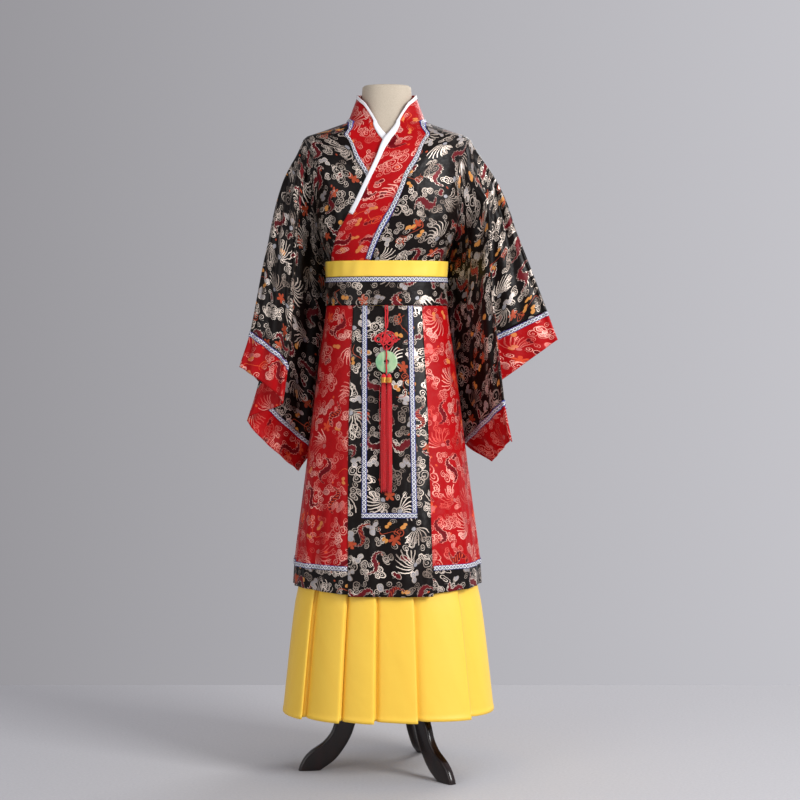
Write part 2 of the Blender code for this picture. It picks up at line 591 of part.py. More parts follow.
def make_pendant():
    """Knot on its loop of cord, jade ring, link cord and tassel."""
    heights = np.linspace(KNOT_TOP + SEAM, WAISTBAND_FOOT + 0.001, 5)
    for name, x in (("left", 0.0022), ("right", -0.0022)):
        y = pendant_y(heights, CORD_RADIUS)
        y[-1] -= 0.0035  # over the waistband's foot
        cord(f"pendant_cord_{name}", [(x, a, z) for a, z in zip(y, heights)], CORD_RADIUS, "red cord")
    bm = bmesh.new()
    middle, half = (KNOT_TOP + KNOT_FOOT) / 2, (KNOT_TOP - KNOT_FOOT) / 2
    turn = np.linspace(0, 2 * math.pi, 32, endpoint=False)
    lobe = 0.80 + 0.20 * np.cos(4 * turn)
    knot_y = pendant_y(middle, KNOT_THICKNESS / 2)
    slope = (pendant_y(KNOT_FOOT, 0) - pendant_y(KNOT_TOP, 0)) / (KNOT_FOOT - KNOT_TOP)
    layers = []
    for size, deep in ((0.88, -0.5), (1.0, -0.2), (1.0, 0.2), (0.88, 0.5)):
        layers.append([bm.verts.new((KNOT_HALF_WIDTH * size * r * math.cos(t),
                                     knot_y + deep * KNOT_THICKNESS + slope * half * size * r * math.sin(t),
                                     middle + half * size * r * math.sin(t))) for r, t in zip(lobe, turn)])
    for low, high in zip(layers, layers[1:]):
        for i in range(len(turn)):
            bm.faces.new((low[i], low[i - 1], high[i - 1], high[i]))
    bm.faces.new(layers[0])
    bm.faces.new(layers[-1][::-1])
    solid("pendant_knot", bm, "red cord")

    ring = bpy.data.meshes.new("pendant_ring")
    t = np.linspace(0, 2 * math.pi, 10, endpoint=False)
    mid, half_width = (RING_RADIUS + RING_HOLE) / 2, (RING_RADIUS - RING_HOLE) / 2
    profile = np.stack([mid + half_width * np.cos(t), 0 * t, RING_THICKNESS / 2 * np.sign(np.sin(t))
                        * np.abs(np.sin(t)) ** 0.6], -1)
    edges = [(i, (i + 1) % len(t)) for i in range(len(t))]
    ring.from_pydata(profile.tolist(), edges, [])
    obj = bpy.data.objects.new("pendant_ring", ring)
    turned = obj.modifiers.new("turned", "SCREW")
    turned.steps = turned.render_steps = 22
    turned.use_merge_vertices, turned.merge_threshold = True, 0.00001
    turned.use_normal_flip = True
    obj.rotation_euler.x = math.pi / 2 - math.atan(slope)
    obj.location = (0, float(pendant_y(RING_HEIGHT, KNOT_THICKNESS - RING_THICKNESS / 2)), RING_HEIGHT)
    finish(obj, "jade")

    before_ring = KNOT_THICKNESS + SEAM + CORD_RADIUS
    heights = np.linspace(HEAD_TOP + SEAM, KNOT_FOOT + 0.010, 6)
    cord("pendant_link", [(0, float(pendant_y(z, before_ring)), z) for z in heights], CORD_RADIUS, "red cord")
    make_tassel()


def make_tassel():
    """Turned head whose foot is a grid of small faces, each drawn out as one strand, and two gold bands."""
    bm = bmesh.new()
    bmesh.ops.create_grid(bm, x_segments=STRANDS_ACROSS, y_segments=STRANDS_DEEP, size=1.0)
    for v in bm.verts:
        u, w = v.co.x, v.co.y
        v.co.x = u * math.sqrt(1 - w * w / 2) * HEAD_HALF_WIDTH
        v.co.y = w * math.sqrt(1 - u * u / 2) * HEAD_HALF_DEPTH
    cells = list(bm.faces)
    edges = [e for e in bm.edges if e.is_boundary]
    for rise, size in ((0.0125, 1.0), (0.0040, 0.93), (0.0035, 0.62)):
        made = bmesh.ops.extrude_edge_only(bm, edges=edges)["geom"]
        rim = [g for g in made if isinstance(g, bmesh.types.BMVert)]
        edges = [g for g in made if isinstance(g, bmesh.types.BMEdge) and g.is_boundary]
        for v in rim:
            v.co.x, v.co.y, v.co.z = v.co.x * size, v.co.y * size, v.co.z + rise
    bmesh.ops.holes_fill(bm, edges=edges)
    bmesh.ops.recalc_face_normals(bm, faces=bm.faces)
    bmesh.ops.inset_individual(bm, faces=cells, thickness=0.0004)
    random = np.random.default_rng(5)
    length = HEAD_FOOT - STRAND_FOOT
    for cell in cells:
        base = cell.calc_center_median().copy()
        reach = length * random.uniform(0.93, 1.0)
        sway = random.uniform(-0.0006, 0.0006, 2)
        faces = [cell]
        for k in range(1, STRAND_STEPS + 1):
            faces = bmesh.ops.extrude_discrete_faces(bm, faces=faces)["faces"]
            share = k / STRAND_STEPS
            spread = 0.12 * math.sin(math.pi * 0.5 * share)
            target = Vector((base.x * (1 + spread) + sway[0] * share,
                             base.y * (1 + 0.25 * spread) + sway[1] * share, -reach * share))
            bmesh.ops.translate(bm, verts=faces[0].verts, vec=target - faces[0].calc_center_median())
    start_y = float(pendant_y(HEAD_FOOT, HEAD_AHEAD))
    for v in bm.verts:
        v.co.y += float(pendant_y(HEAD_FOOT + min(0.0, v.co.z), HEAD_AHEAD))
        v.co.z += HEAD_FOOT
    solid("tassel", bm, "red cord")
    for number, height in enumerate((HEAD_FOOT + 0.0010, HEAD_FOOT + 0.0068), 1):
        angle = np.linspace(0, 2 * math.pi, 24, endpoint=False)
        oval = np.stack([np.cos(angle) * (HEAD_HALF_WIDTH + SEAM), np.sin(angle) * (HEAD_HALF_DEPTH + SEAM),
                         0 * angle], -1)
        rows = np.stack([oval + np.array([0, start_y, height + rise]) for rise in (0.0, 0.0050)])
        cloth(f"tassel_band_{number}", rows, "gold thread", 0.0009, closed=True)


for old in list(bpy.data.objects):
    bpy.data.objects.remove(old)
collection = bpy.data.collections.new("hanfu robe on a dress form")
bpy.context.scene.collection.children.link(collection)
root = bpy.data.objects.new("robe_on_form", None)
collection.objects.link(root)
root.location = [-value for value in MODEL_CENTRE]
materials = {}
for colour_name, (red, green, blue, rough) in COLOURS.items():
    made = bpy.data.materials.new(colour_name)
    made.use_nodes = True
    shader = made.node_tree.nodes["Principled BSDF"]
    shader.inputs["Base Color"].default_value = (red, green, blue, 1)
    shader.inputs["Roughness"].default_value = rough
    made.diffuse_color = (red, green, blue, 1)
    materials[colour_name] = made

make_form()
make_stand()
make_robe()
make_collar()
make_sleeves()
make_waist()
make_overskirt()
make_apron()
make_underskirt()
make_pendant()
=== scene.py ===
# %% [markdown]
# # A ceremonial hanfu set on a dress form
# The set is a black brocade robe with wide sleeves, a red overskirt with a black apron, and a yellow pleated
# underskirt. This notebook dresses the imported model: each cloth panel is worked out again on a fine grid, given
# its creases, and finished with a woven pattern made from nodes.

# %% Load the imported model
import math

import bmesh
import bpy
import numpy as np
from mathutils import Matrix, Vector


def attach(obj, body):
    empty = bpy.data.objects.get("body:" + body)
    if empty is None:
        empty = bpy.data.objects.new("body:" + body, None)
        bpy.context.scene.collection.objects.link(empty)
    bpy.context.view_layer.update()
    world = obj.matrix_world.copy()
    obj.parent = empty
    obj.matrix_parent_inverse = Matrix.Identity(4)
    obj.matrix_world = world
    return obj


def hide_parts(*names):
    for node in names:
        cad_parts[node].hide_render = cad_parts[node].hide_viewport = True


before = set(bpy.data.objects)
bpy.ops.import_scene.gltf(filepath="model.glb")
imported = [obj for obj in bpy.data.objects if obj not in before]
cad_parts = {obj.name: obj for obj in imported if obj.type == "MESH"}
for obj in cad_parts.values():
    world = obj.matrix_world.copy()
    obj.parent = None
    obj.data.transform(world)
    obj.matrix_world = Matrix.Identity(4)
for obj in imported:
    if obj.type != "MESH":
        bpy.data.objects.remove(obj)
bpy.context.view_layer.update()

# %% [markdown]
# ## Camera, floor and light
# The camera stands 4.3 m in front at chest height and looks slightly down through a long lens, so the robe is
# seen almost flat on. A large soft light comes from the right, a weaker one fills in from the left, and the
# grey of the world stands in for the studio wall, with painted light on it: darker on the left, lighter on the right.

# %% Camera
camera = bpy.data.objects.new("camera", bpy.data.cameras.new("camera"))
bpy.context.scene.collection.objects.link(camera)
bpy.context.scene.camera = camera
camera.data.lens, camera.data.sensor_width = 88.0, 36.0
camera.location = (0.0015, -4.307, 0.968)
camera.rotation_euler = (math.radians(90 - 2.05), 0, 0)
bpy.context.scene.view_settings.view_transform = "Standard"


# %% Lights and world
def soft_light(name, place, aim, size, power, colour=(1, 1, 1)):
    """A square area light at place, turned towards aim."""
    lamp = bpy.data.objects.new(name, bpy.data.lights.new(name, "AREA"))
    lamp.data.size, lamp.data.energy, lamp.data.color = size, power, colour
    lamp.location = place
    lamp.rotation_euler = (Vector(aim) - Vector(place)).to_track_quat("-Z", "Y").to_euler()
    bpy.context.scene.collection.objects.link(lamp)


soft_light("window", (2.6, -2.4, 2.3), (0, 0, 0.85), 1.5, 130)
soft_light("fill", (-2.6, -3.0, 1.6), (0, 0, 0.9), 2.4, 34)
soft_light("rim", (1.6, 2.4, 2.6), (0, 0, 1.0), 1.5, 40)
world = bpy.data.worlds.new("studio")
bpy.context.scene.world = world
world.use_nodes = True
nodes, links = world.node_tree.nodes, world.node_tree.links
ramp, split, place, span = (nodes.new("ShaderNode" + kind) for kind in ("ValToRGB", "SeparateXYZ", "TexCoord", "Math"))
span.operation = "MULTIPLY_ADD"  # the picture is about 0.4 wide in the world's directions
span.inputs[1].default_value, span.inputs[2].default_value = 2.4, 0.5
# painted light on the wall: the world's grey runs from darker on the left to lighter on the right, where the window
# light falls
ramp.color_ramp.elements[0].color = (0.315, 0.308, 0.328, 1)
ramp.color_ramp.elements[1].color = (0.555, 0.550, 0.585, 1)
links.new(place.outputs["Generated"], split.inputs[0])
links.new(split.outputs["X"], span.inputs[0])
links.new(span.outputs[0], ramp.inputs[0])
links.new(ramp.outputs["Color"], nodes["Background"].inputs["Color"])


# %% [markdown]
# ## Shader maths as Python
# A pattern is a formula on the cloth's own coordinates. Adding its nodes one by one would be hard to read, so a
# small class wraps a socket and turns +, -, * and / into Math nodes. One method of the material's class adds any
# other node.

# %% A socket that takes part in expressions
class Field:
    """A number, vector or colour that varies over a surface."""

    def __init__(self, finish, socket):
        self.finish, self.socket = finish, socket

    def math(self, operation, *others, **settings):
        inputs = {number: value for number, value in enumerate((self, *others))}
        return self.finish.add("Math", inputs, operation=operation, **settings)

    def __add__(self, other): return self.math("ADD", other)
    def __sub__(self, other): return self.math("SUBTRACT", other)
    def __mul__(self, other): return self.math("MULTIPLY", other)
    def __truediv__(self, other): return self.math("DIVIDE", other)
    def __rsub__(self, other): return (self * -1) + other
    def __lt__(self, other): return self.math("LESS_THAN", other)
    def __gt__(self, other): return self.math("GREATER_THAN", other)
    def __abs__(self): return self.math("ABSOLUTE")
    __radd__, __rmul__ = __add__, __mul__

    def least(self, other): return self.math("MINIMUM", other)
    def most(self, other): return self.math("MAXIMUM", other)
    def cos(self): return self.math("COSINE")
    def sin(self): return self.math("SINE")
    def within(self, low, high): return (self > low) * (self < high)

    def line(self, width):
        """1 where the field is within half the width of 0."""
        return abs(self) < width / 2


# %% A material with one method for any node
class Finish:
    """A material whose surface is one Principled shader."""

    def __init__(self, name, rough=0.5, **sockets):
        self.material = bpy.data.materials.new(name)
        self.material.use_nodes = True
        self.tree = self.material.node_tree
        self.shader = self.tree.nodes["Principled BSDF"]
        self.set("Roughness", rough)
        for socket, value in sockets.items():
            self.set(socket.replace("_", " "), value)

    def set(self, socket, value):
        if isinstance(value, Field):
            self.tree.links.new(value.socket, self.shader.inputs[socket])
        else:
            self.shader.inputs[socket].default_value = value

    def add(self, kind, inputs=(), out=0, stops=(), **settings):
        """Adds a node of the kind: settings first, then the values and links of its sockets."""
        node = self.tree.nodes.new("ShaderNode" + kind)
        for key, value in settings.items():
            setattr(node, key, value)
        for number, (place, colour) in enumerate(stops):
            ramp = node.color_ramp.elements
            stop = ramp[number] if number < len(ramp) else ramp.new(place)
            stop.position, stop.color = place, (*colour, 1)
        for key, value in dict(inputs).items():
            if isinstance(value, Field):
                self.tree.links.new(value.socket, node.inputs[key])
            else:
                node.inputs[key].default_value = value
        return Field(self, node.outputs[out])

    def mix(self, share, first, second):
        """The second colour over the first one."""
        first, second = (value if isinstance(value, Field) else (*value, 1) for value in (first, second))
        return self.add("Mix", {0: share, 6: first, 7: second}, 2, data_type="RGBA")

    def parts(self, vector):
        """The x, y and z of a vector."""
        split = self.add("SeparateXYZ", {0: vector})
        return [Field(self, split.socket.node.outputs[k]) for k in range(3)]

    def cut(self):
        """The cloth's own coordinates in metres: x across the cut and y up it."""
        return self.add("UVMap", uv_map="cut")

    def noise(self, vector, scale, detail=2.0):
        return self.add("TexNoise", {"Vector": vector, "Scale": scale, "Detail": detail})

    def bump(self, height, distance, strength=1.0, normal=None):
        inputs = {"Height": height, "Distance": distance, "Strength": strength}
        if normal is not None:
            inputs["Normal"] = normal
        return self.add("Bump", inputs)


# %% [markdown]
# ## Brocade
# Brocade is a satin ground with a figure woven over it in coloured threads. Here the cloth is divided into cells,
# each cell picks one motif by a random number and turns it, and three sizes of cell lie over each other: large
# ones with feather fans, curved bodies and tendrils, small ones with curled clouds, stars and spots, and the
# smallest with open spirals. All of these are ordinary motifs of this kind of cloth. Each is a plain formula of a
# distance or an angle.


# %% Cells and motifs
class Cell:
    """Coordinates inside one cell of a staggered grid, with its motif turned at random."""

    def __init__(self, finish, place, size, shift):
        self.finish = finish
        scaled = finish.add("VectorMath", {0: place, 1: (1 / size, 1 / size, 0), 2: (*shift, 0)},
                            operation="MULTIPLY_ADD")
        x, y, _ = finish.parts(scaled)
        row = y.math("FLOOR")
        x = x + row.math("MODULO", 2.0) * 0.5
        column = x.math("FLOOR")
        random = finish.add("TexWhiteNoise", {"Vector": finish.add("CombineXYZ", {0: column, 1: row, 2: shift[0]})},
                            1, noise_dimensions="3D")
        self.pick, turn, self.hue = finish.parts(random)
        inside = finish.add("CombineXYZ", {0: x - column - 0.5, 1: y - row - 0.5})
        self.place = finish.add("VectorRotate", {"Vector": inside, "Angle": turn * (2 * math.pi)},
                                rotation_type="Z_AXIS")
        self.x, self.y, _ = finish.parts(self.place)

    def far(self, x, y):
        """Distance to a point of the cell."""
        return self.finish.add("VectorMath", {0: self.place, 1: (x, y, 0)}, 1, operation="DISTANCE")

    def round_of(self, x, y):
        """Angle about a point of the cell."""
        return (self.y - y).math("ARCTAN2", self.x - x)

    def swirl(self, x, y, pitch, width):
        """A spiral line about a point of the cell, its turns one pitch apart."""
        coil = self.far(x, y) / pitch + self.round_of(x, y) / (2 * math.pi)
        return (coil.math("FRACT") - 0.5).line(width / pitch)

    def cloud(self, circles, width):
        """Lines of a curled cloud, and the distance to its outline: overlapping circles with a spiral in each."""
        outline = lines = None
        for x, y, radius in circles:
            away = self.far(x, y) - radius
            coil = self.swirl(x, y, radius * 0.62, width)
            if outline is None:
                outline, lines = away, coil
            else:
                lines = lines + (coil - lines) * (away < outline)
                outline = outline.least(away)
        return outline.line(width).most(lines * (outline < 0)), outline

    def serpent(self, width):
        """Light lines, inside and scales of a long body that swings to both sides and tapers to its ends."""
        swing = self.x * 7.2
        slope = swing.cos() * 1.2
        away = (self.y - swing.sin() * 0.17) / (slope * slope + 1).math("SQRT")
        half = 0.120 - abs(self.x - 0.03) * 0.22
        ridge = (self.x * 62).cos() * 0.018
        inside = (abs(away) < half) * (abs(self.x) < 0.46)
        edge = (abs(away) - half - ridge).line(width) * (abs(self.x) < 0.46)
        scales = ((self.x * 70).cos() > 0.45) * (abs(away) < half * 0.55)
        return edge, inside, scales

    def fan(self, x, y, turn):
        """Curved feathers that spread from a point and taper to their tips."""
        reach = self.far(x, y)
        angle = self.round_of(x, y) + reach * turn
        spread = abs(angle - 0.45) < 1.3
        return ((angle * 20).cos() > reach * 1.3 + 0.08) * reach.within(0.10, 0.62) * spread, reach


def large_motifs(cell, width):
    """Masks of the large cells: light lines, pale fill, dark body, warm tendril, and warm spots."""
    is_fan, is_body = cell.pick < 0.30, cell.pick.within(0.30, 0.68)
    is_tendril, is_cloud = cell.pick.within(0.68, 0.80), cell.pick > 0.80
    feathers, reach = cell.fan(-0.27, -0.12, 1.2)
    edge, inside, scales = cell.serpent(width)
    head, head_out = cell.cloud(((-0.33, 0.27, 0.10), (-0.20, 0.34, 0.10), (0.30, -0.30, 0.11)), width)
    wave = (cell.y - (cell.x * 7.0).sin() * 0.19).line(width * 1.5) * (abs(cell.x) < 0.43)
    spiral = cell.swirl(0.27, 0.24, 0.085, width * 1.4) * (cell.far(0.27, 0.24) < 0.17)
    leaf = (abs(cell.round_of(-0.2, 0.2).sin()) * 0.14 > cell.far(-0.2, 0.2)).most(
        abs(cell.round_of(0.05, -0.27).cos()) * 0.13 > cell.far(0.05, -0.27))
    puff, puff_out = cell.cloud(((-0.24, -0.02, 0.15), (0.0, 0.14, 0.17), (0.23, 0.0, 0.14), (0.05, -0.17, 0.14)),
                                width)
    light = (is_fan * feathers).most(is_body * edge.most(head)).most(is_cloud * puff)
    pale = (is_body * (head_out < 0) * (cell.hue > 0.75)).most(is_fan * reach.line(0.15))
    body = (is_body * inside).most(is_fan * (reach < 0.05))
    warm = (is_tendril * wave.most(spiral)).most(is_body * scales * inside * (cell.hue > 0.78))
    return light, pale, body, warm, is_tendril * leaf


def small_motifs(cell, width):
    """Masks of the small cells: light lines, pale fill, warm stars, and dark or golden spots."""
    is_cloud, is_star = cell.pick < 0.56, cell.pick.within(0.56, 0.63)
    is_spot, is_gold = cell.pick.within(0.63, 0.71), cell.pick.within(0.71, 0.77)
    puff, puff_out = cell.cloud(((-0.22, -0.06, 0.16), (0.02, 0.14, 0.18), (0.23, -0.06, 0.14)), width)
    star = cell.far(0, 0) < 0.10 + abs((cell.round_of(0, 0) * 2.5).cos()) * 0.26
    spot = (cell.far(-0.1, 0) - 0.16).least(cell.far(0.12, 0.1) - 0.13)
    light = (is_cloud * puff).most(is_spot * spot.line(width))
    pale = is_cloud * (puff_out < 0) * (cell.hue > 0.78)
    return light, pale, is_spot * (spot < 0), is_star * star, is_gold * (spot < 0)


def curl_motifs(cell, width):
    """Masks of the smallest cells: a thin open spiral in most of them, and a few warm dots."""
    spiral = cell.swirl(0.0, 0.0, 0.21, width) * (cell.far(0.0, 0.0) < 0.36)
    none = cell.pick < -1
    return (cell.pick < 0.36) * spiral, none, none, cell.pick.within(0.36, 0.41) * (cell.far(0.0, 0.0) < 0.14), none


# %% The two brocades
LAYERS = ((0.0185, (1.7, 4.9), curl_motifs), (0.034, (7.3, 2.1), small_motifs), (0.063, (3.0, 5.4), large_motifs))
THREAD = 0.00108  # metres across a woven line


def brocade(name, ground, colours, rough, specular):
    """Satin ground with three layers of motifs. The figure stands a little proud of the ground, and its light threads
    are partly metallic and carry painted highlights: a slow noise paints them bright in some places and dim in others."""
    finish = Finish(name, rough, Specular_IOR_Level=specular)
    place = finish.cut()
    wobble, slow = finish.noise(place, 90.0, 1.0) - 0.5, finish.noise(place, 13.0, 1.0) - 0.5
    cloth_x, cloth_y, _ = finish.parts(place)
    place = finish.add("CombineXYZ", {0: cloth_x + wobble * 0.005 + slow * 0.030,
                                      1: cloth_y + wobble * 0.004 - slow * 0.026})
    colour = finish.mix(finish.noise(place, 9.0), ground, [value * 0.72 for value in ground])
    # painted highlights: where the slow noise is high the light threads are painted bright, as if they caught the
    # light; elsewhere they are painted dim
    painted_glint = ((finish.noise(place, 14.0, 1.0) - 0.38) * 4.2).most(0.0).least(1.0)
    raised = metal = None
    for size, shift, motifs in LAYERS:
        cell = Cell(finish, place, size, shift)
        light, pale, body, warm, gold = motifs(cell, THREAD / size)
        painted_glint_colour = finish.mix(painted_glint, colours["dim"], colours["light"])
        for mask, thread in ((body, colours["body"]), (pale, colours["pale"]), (gold, colours["gold"]),
                             (warm, colours["warm"]), (light, painted_glint_colour)):
            colour = finish.mix(mask, colour, thread)
        threads = light.most(pale) * 0.5
        metal = threads if metal is None else metal.most(threads)
        figure = light.most(pale).most(body).most(warm).most(gold)
        raised = figure if raised is None else raised.most(figure)
    finish.set("Base Color", colour)
    finish.set("Metallic", metal)
    finish.set("Roughness", raised * 0.06 + rough)
    rumple = finish.noise(place, 26.0, 3.0)
    ribs = finish.add("TexWave", {"Vector": place, "Scale": 900.0, "Distortion": 0.4}, 1, wave_type="BANDS",
                      bands_direction="DIAGONAL")
    soft = finish.bump(rumple, 0.0040, 0.75)
    finish.set("Normal", finish.bump(raised * 0.8 + ribs * 0.2, 0.0003, 0.6, soft))
    return finish.material


# the light threads of each brocade run from its dim colour to its light colour under the painted highlights
black_brocade = brocade("black brocade", (0.0056, 0.0030, 0.0025), {
    "light": (0.92, 0.79, 0.68), "dim": (0.26, 0.20, 0.165), "pale": (0.34, 0.33, 0.35),
    "body": (0.130, 0.006, 0.010), "warm": (0.40, 0.060, 0.022), "gold": (0.60, 0.25, 0.06)}, 0.33, 0.15)
red_brocade = brocade("red brocade", (0.47, 0.0034, 0.0060), {
    "light": (0.95, 0.47, 0.39), "dim": (0.60, 0.075, 0.062), "pale": (0.50, 0.12, 0.11),
    "body": (0.16, 0.003, 0.007), "warm": (0.66, 0.07, 0.025), "gold": (0.66, 0.20, 0.06)}, 0.38, 0.10)
print("brocade nodes:", len(black_brocade.node_tree.nodes))


# %% [markdown]
# ## The other finishes
# Satin is a fine weave with a long soft gloss. The woven ribbon has a pale middle with a row of dark diamonds
# between two blue edges, so its pattern needs to know how far across the ribbon a point lies: the ribbon's own
# coordinates run along it in x and from the middle outwards in y.

# %% Satin, cotton, ribbon
DIAMOND = 0.0088  # metres from one diamond of the ribbon to the next


def satin(name, colour, shade, rough):
    finish = Finish(name, rough, Sheen_Weight=0.10, Sheen_Roughness=0.35)
    place = finish.cut()
    long = finish.add("VectorMath", {0: place, 1: (60.0, 4.0, 0)}, operation="MULTIPLY")
    threads = finish.add("VectorMath", {0: place, 1: (2600.0, 300.0, 0)}, operation="MULTIPLY")
    slubs = finish.noise(threads, 1.0, 2.0)
    finish.set("Base Color", finish.mix(slubs * 0.35 + finish.noise(long, 0.6) * 0.4, colour, shade))
    finish.set("Roughness", slubs * 0.12 + rough)
    soft = finish.bump(finish.noise(place, 14.0, 3.0), 0.004, 0.35)
    finish.set("Normal", finish.bump(slubs, 0.0002, 0.5, soft))
    return finish.material


yellow_satin = satin("yellow satin", (0.97, 0.65, 0.070), (0.90, 0.50, 0.034), 0.46)
belt_satin = satin("belt satin", (0.96, 0.67, 0.080), (0.86, 0.53, 0.045), 0.50)
white_cotton = satin("white cotton", (0.86, 0.86, 0.88), (0.74, 0.74, 0.77), 0.70)


def woven_ribbon():
    """A pale middle with dark diamonds and half diamonds beside them, between narrow blue edges."""
    finish = Finish("woven ribbon", 0.50)
    along, across, _ = finish.parts(finish.cut())
    beat = (along / DIAMOND).math("FRACT") - 0.5
    side = across / 0.0105
    diamond = abs(beat) * 0.9 + abs(side) * 1.5
    middle = finish.mix(diamond < 0.40, (0.78, 0.78, 0.80), (0.022, 0.022, 0.070))
    middle = finish.mix(diamond < 0.12, middle, (0.78, 0.78, 0.80))
    corner = (abs(abs(beat) - 0.5) + abs(abs(side) - 0.27) * 1.4) < 0.21
    middle = finish.mix(corner, middle, (0.022, 0.024, 0.085))
    piping = (abs(side) - 0.37).line(0.03)
    middle = finish.mix(piping, middle, (0.50, 0.49, 0.50))
    finish.set("Base Color", finish.mix(abs(side) > 0.385, middle, (0.035, 0.050, 0.280)))
    ribs = ((along * (2 * math.pi / 0.0009)).sin() + 1) * 0.5
    finish.set("Normal", finish.bump(ribs * 0.4 - diamond, 0.0003, 0.6))
    return finish.material


ribbon = woven_ribbon()


# %% Form cloth, wood, cord, jade and gold thread
def solid_finish(name, rough, colour, shade, scale, stretch=(1, 1, 1), bump=0.0003, **sockets):
    """Noise between two colours, stretched along the grain, on the object's own coordinates."""
    finish = Finish(name, rough, **sockets)
    place = finish.add("TexCoord", out=3)
    grain = finish.noise(finish.add("VectorMath", {0: place, 1: stretch}, operation="MULTIPLY"), scale, 5.0)
    sharp = finish.add("ValToRGB", {0: grain}, stops=((0.36, (0, 0, 0)), (0.64, (1, 1, 1))))
    finish.set("Base Color", finish.mix(sharp, colour, shade))
    finish.set("Roughness", grain * 0.15 + (rough - 0.07))
    finish.set("Normal", finish.bump(grain, bump, 0.6))
    return finish.material


form_cloth = solid_finish("form cloth", 0.85, (0.54, 0.47, 0.375), (0.47, 0.40, 0.31), 700.0, bump=0.0004)
dark_wood = solid_finish("dark wood", 0.22, (0.014, 0.0045, 0.004), (0.006, 0.0025, 0.002), 60.0, (1, 1, 0.15),
                         Specular_IOR_Level=0.3, Coat_Weight=0.25, Coat_Roughness=0.10)
jade = solid_finish("jade", 0.22, (0.43, 0.57, 0.33), (0.20, 0.43, 0.23), 75.0, (1, 1, 0.5), 0.0001,
                    Subsurface_Weight=0.1, Coat_Weight=0.4, Coat_Roughness=0.08)
gold_thread = solid_finish("gold thread", 0.30, (0.86, 0.56, 0.14), (0.66, 0.38, 0.07), 500.0, (1, 1, 4),
                           Metallic=0.8)


def silk_cord(name, colour, shade, pitch):
    """Fine ridges that wind round the cord, with painted shade in the grooves between them: its own coordinates run
    round in x and along in y, in metres.
    """
    finish = Finish(name, 0.45, Sheen_Weight=0.10, Sheen_Roughness=0.4)
    x, y, _ = finish.parts(finish.cut())
    twist = ((x + y * 0.8) * (2 * math.pi / pitch)).sin() * 0.5 + 0.5
    # painted shade: the grooves between the ridges take the darker colour, the ridges the lighter one
    finish.set("Base Color", finish.mix(twist, shade, colour))
    finish.set("Normal", finish.bump(twist, 0.0005, 0.8))
    return finish.material


# the second colour of each cord is the painted shade of its grooves
red_cord = silk_cord("red cord", (0.80, 0.012, 0.020), (0.48, 0.005, 0.011), 0.0018)
red_floss = silk_cord("red floss", (0.95, 0.014, 0.024), (0.66, 0.009, 0.016), 0.0009)

# %% [markdown]
# ## From sections to surfaces
# The body of the robe and of the skirts is a stack of rounded sections. A table gives each section's half width
# and its depth in front and behind, a smooth curve runs through the table, and a superellipse turns the three
# sizes into a closed outline. The tables are the ones the solids were made with, so each panel lies exactly where
# its solid is.

# %% Sizes and tables
CLOTH, RIBBON, SEAM, LAY, LAP = 0.0015, 0.0010, 0.0004, 0.0006, 0.0052
SHOULDER, UNDERARM = 1.385, 1.200
BELT_TOP, BELT_FOOT, WAISTBAND_FOOT = 1.117, 1.0832, 1.021
HEM_SEAM, OVERSKIRT_HEM, HEM_RISE, APRON_HEM, UNDERSKIRT_HEM = 0.460, 0.405, 0.008, 0.401, 0.134
FRONT, BACK = -math.pi / 2, math.pi / 2
POWER = 2.3
CENTRE = np.array([0.0275, 0.0070, 0.0])  # taken off every point, to put the footprint's middle at the origin
STAND_X = 0.014

ROBE = np.array([
    (1.060, 0.1227, 0.0870, 0.0870), (1.098, 0.1227, 0.0870, 0.0870), (1.117, 0.1240, 0.0890, 0.0880),
    (1.135, 0.1310, 0.0950, 0.0920), (1.160, 0.1410, 0.1020, 0.0980), (1.200, 0.1520, 0.1080, 0.1020),
    (1.260, 0.1610, 0.1110, 0.1040), (1.310, 0.1670, 0.1050, 0.1020), (1.350, 0.1730, 0.0930, 0.0960),
    (1.375, 0.1770, 0.0800, 0.0860), (1.385, 0.1790, 0.0740, 0.0800), (1.400, 0.1400, 0.0690, 0.0750),
    (1.412, 0.1070, 0.0640, 0.0690), (1.420, 0.0865, 0.0600, 0.0650), (1.450, 0.0730, 0.0560, 0.0610),
    (1.487, 0.0595, 0.0525, 0.0570)])
FORM = np.array([
    (0.860, 0.1100, 0.0800, 0.0850), (0.885, 0.1230, 0.0870, 0.0930), (0.940, 0.1260, 0.0890, 0.0950),
    (1.000, 0.1200, 0.0830, 0.0870), (1.060, 0.1165, 0.0810, 0.0815), (1.117, 0.1190, 0.0840, 0.0830),
    (1.200, 0.1420, 0.0980, 0.0930), (1.260, 0.1510, 0.1030, 0.0970), (1.310, 0.1570, 0.0980, 0.0955),
    (1.350, 0.1620, 0.0870, 0.0900), (1.375, 0.1650, 0.0765, 0.0815), (1.385, 0.1640, 0.0722, 0.0782),
    (1.400, 0.1384, 0.0674, 0.0734), (1.412, 0.1035, 0.0615, 0.0665), (1.420, 0.0810, 0.0570, 0.0620),
    (1.429, 0.0680, 0.0550, 0.0590), (1.450, 0.0570, 0.0500, 0.0540), (1.500, 0.0530, 0.0480, 0.0510)])
OVERSKIRT = np.array([
    (0.402, 0.2060, 0.1650, 0.1680), (0.462, 0.2020, 0.1620, 0.1650), (0.600, 0.1850, 0.1470, 0.1500),
    (0.750, 0.1662, 0.1280, 0.1310), (0.900, 0.1475, 0.1080, 0.1110), (1.021, 0.1309, 0.0925, 0.0935),
    (1.056, 0.1285, 0.0910, 0.0915)])
UNDERSKIRT = np.array([
    (0.134, 0.2240, 0.1720, 0.1760), (0.370, 0.1975, 0.1540, 0.1570), (0.410, 0.1900, 0.1490, 0.1520),
    (0.600, 0.1735, 0.1355, 0.1385), (0.800, 0.1530, 0.1140, 0.1170), (1.000, 0.1288, 0.0898, 0.0908),
    (1.050, 0.1262, 0.0885, 0.0890)])
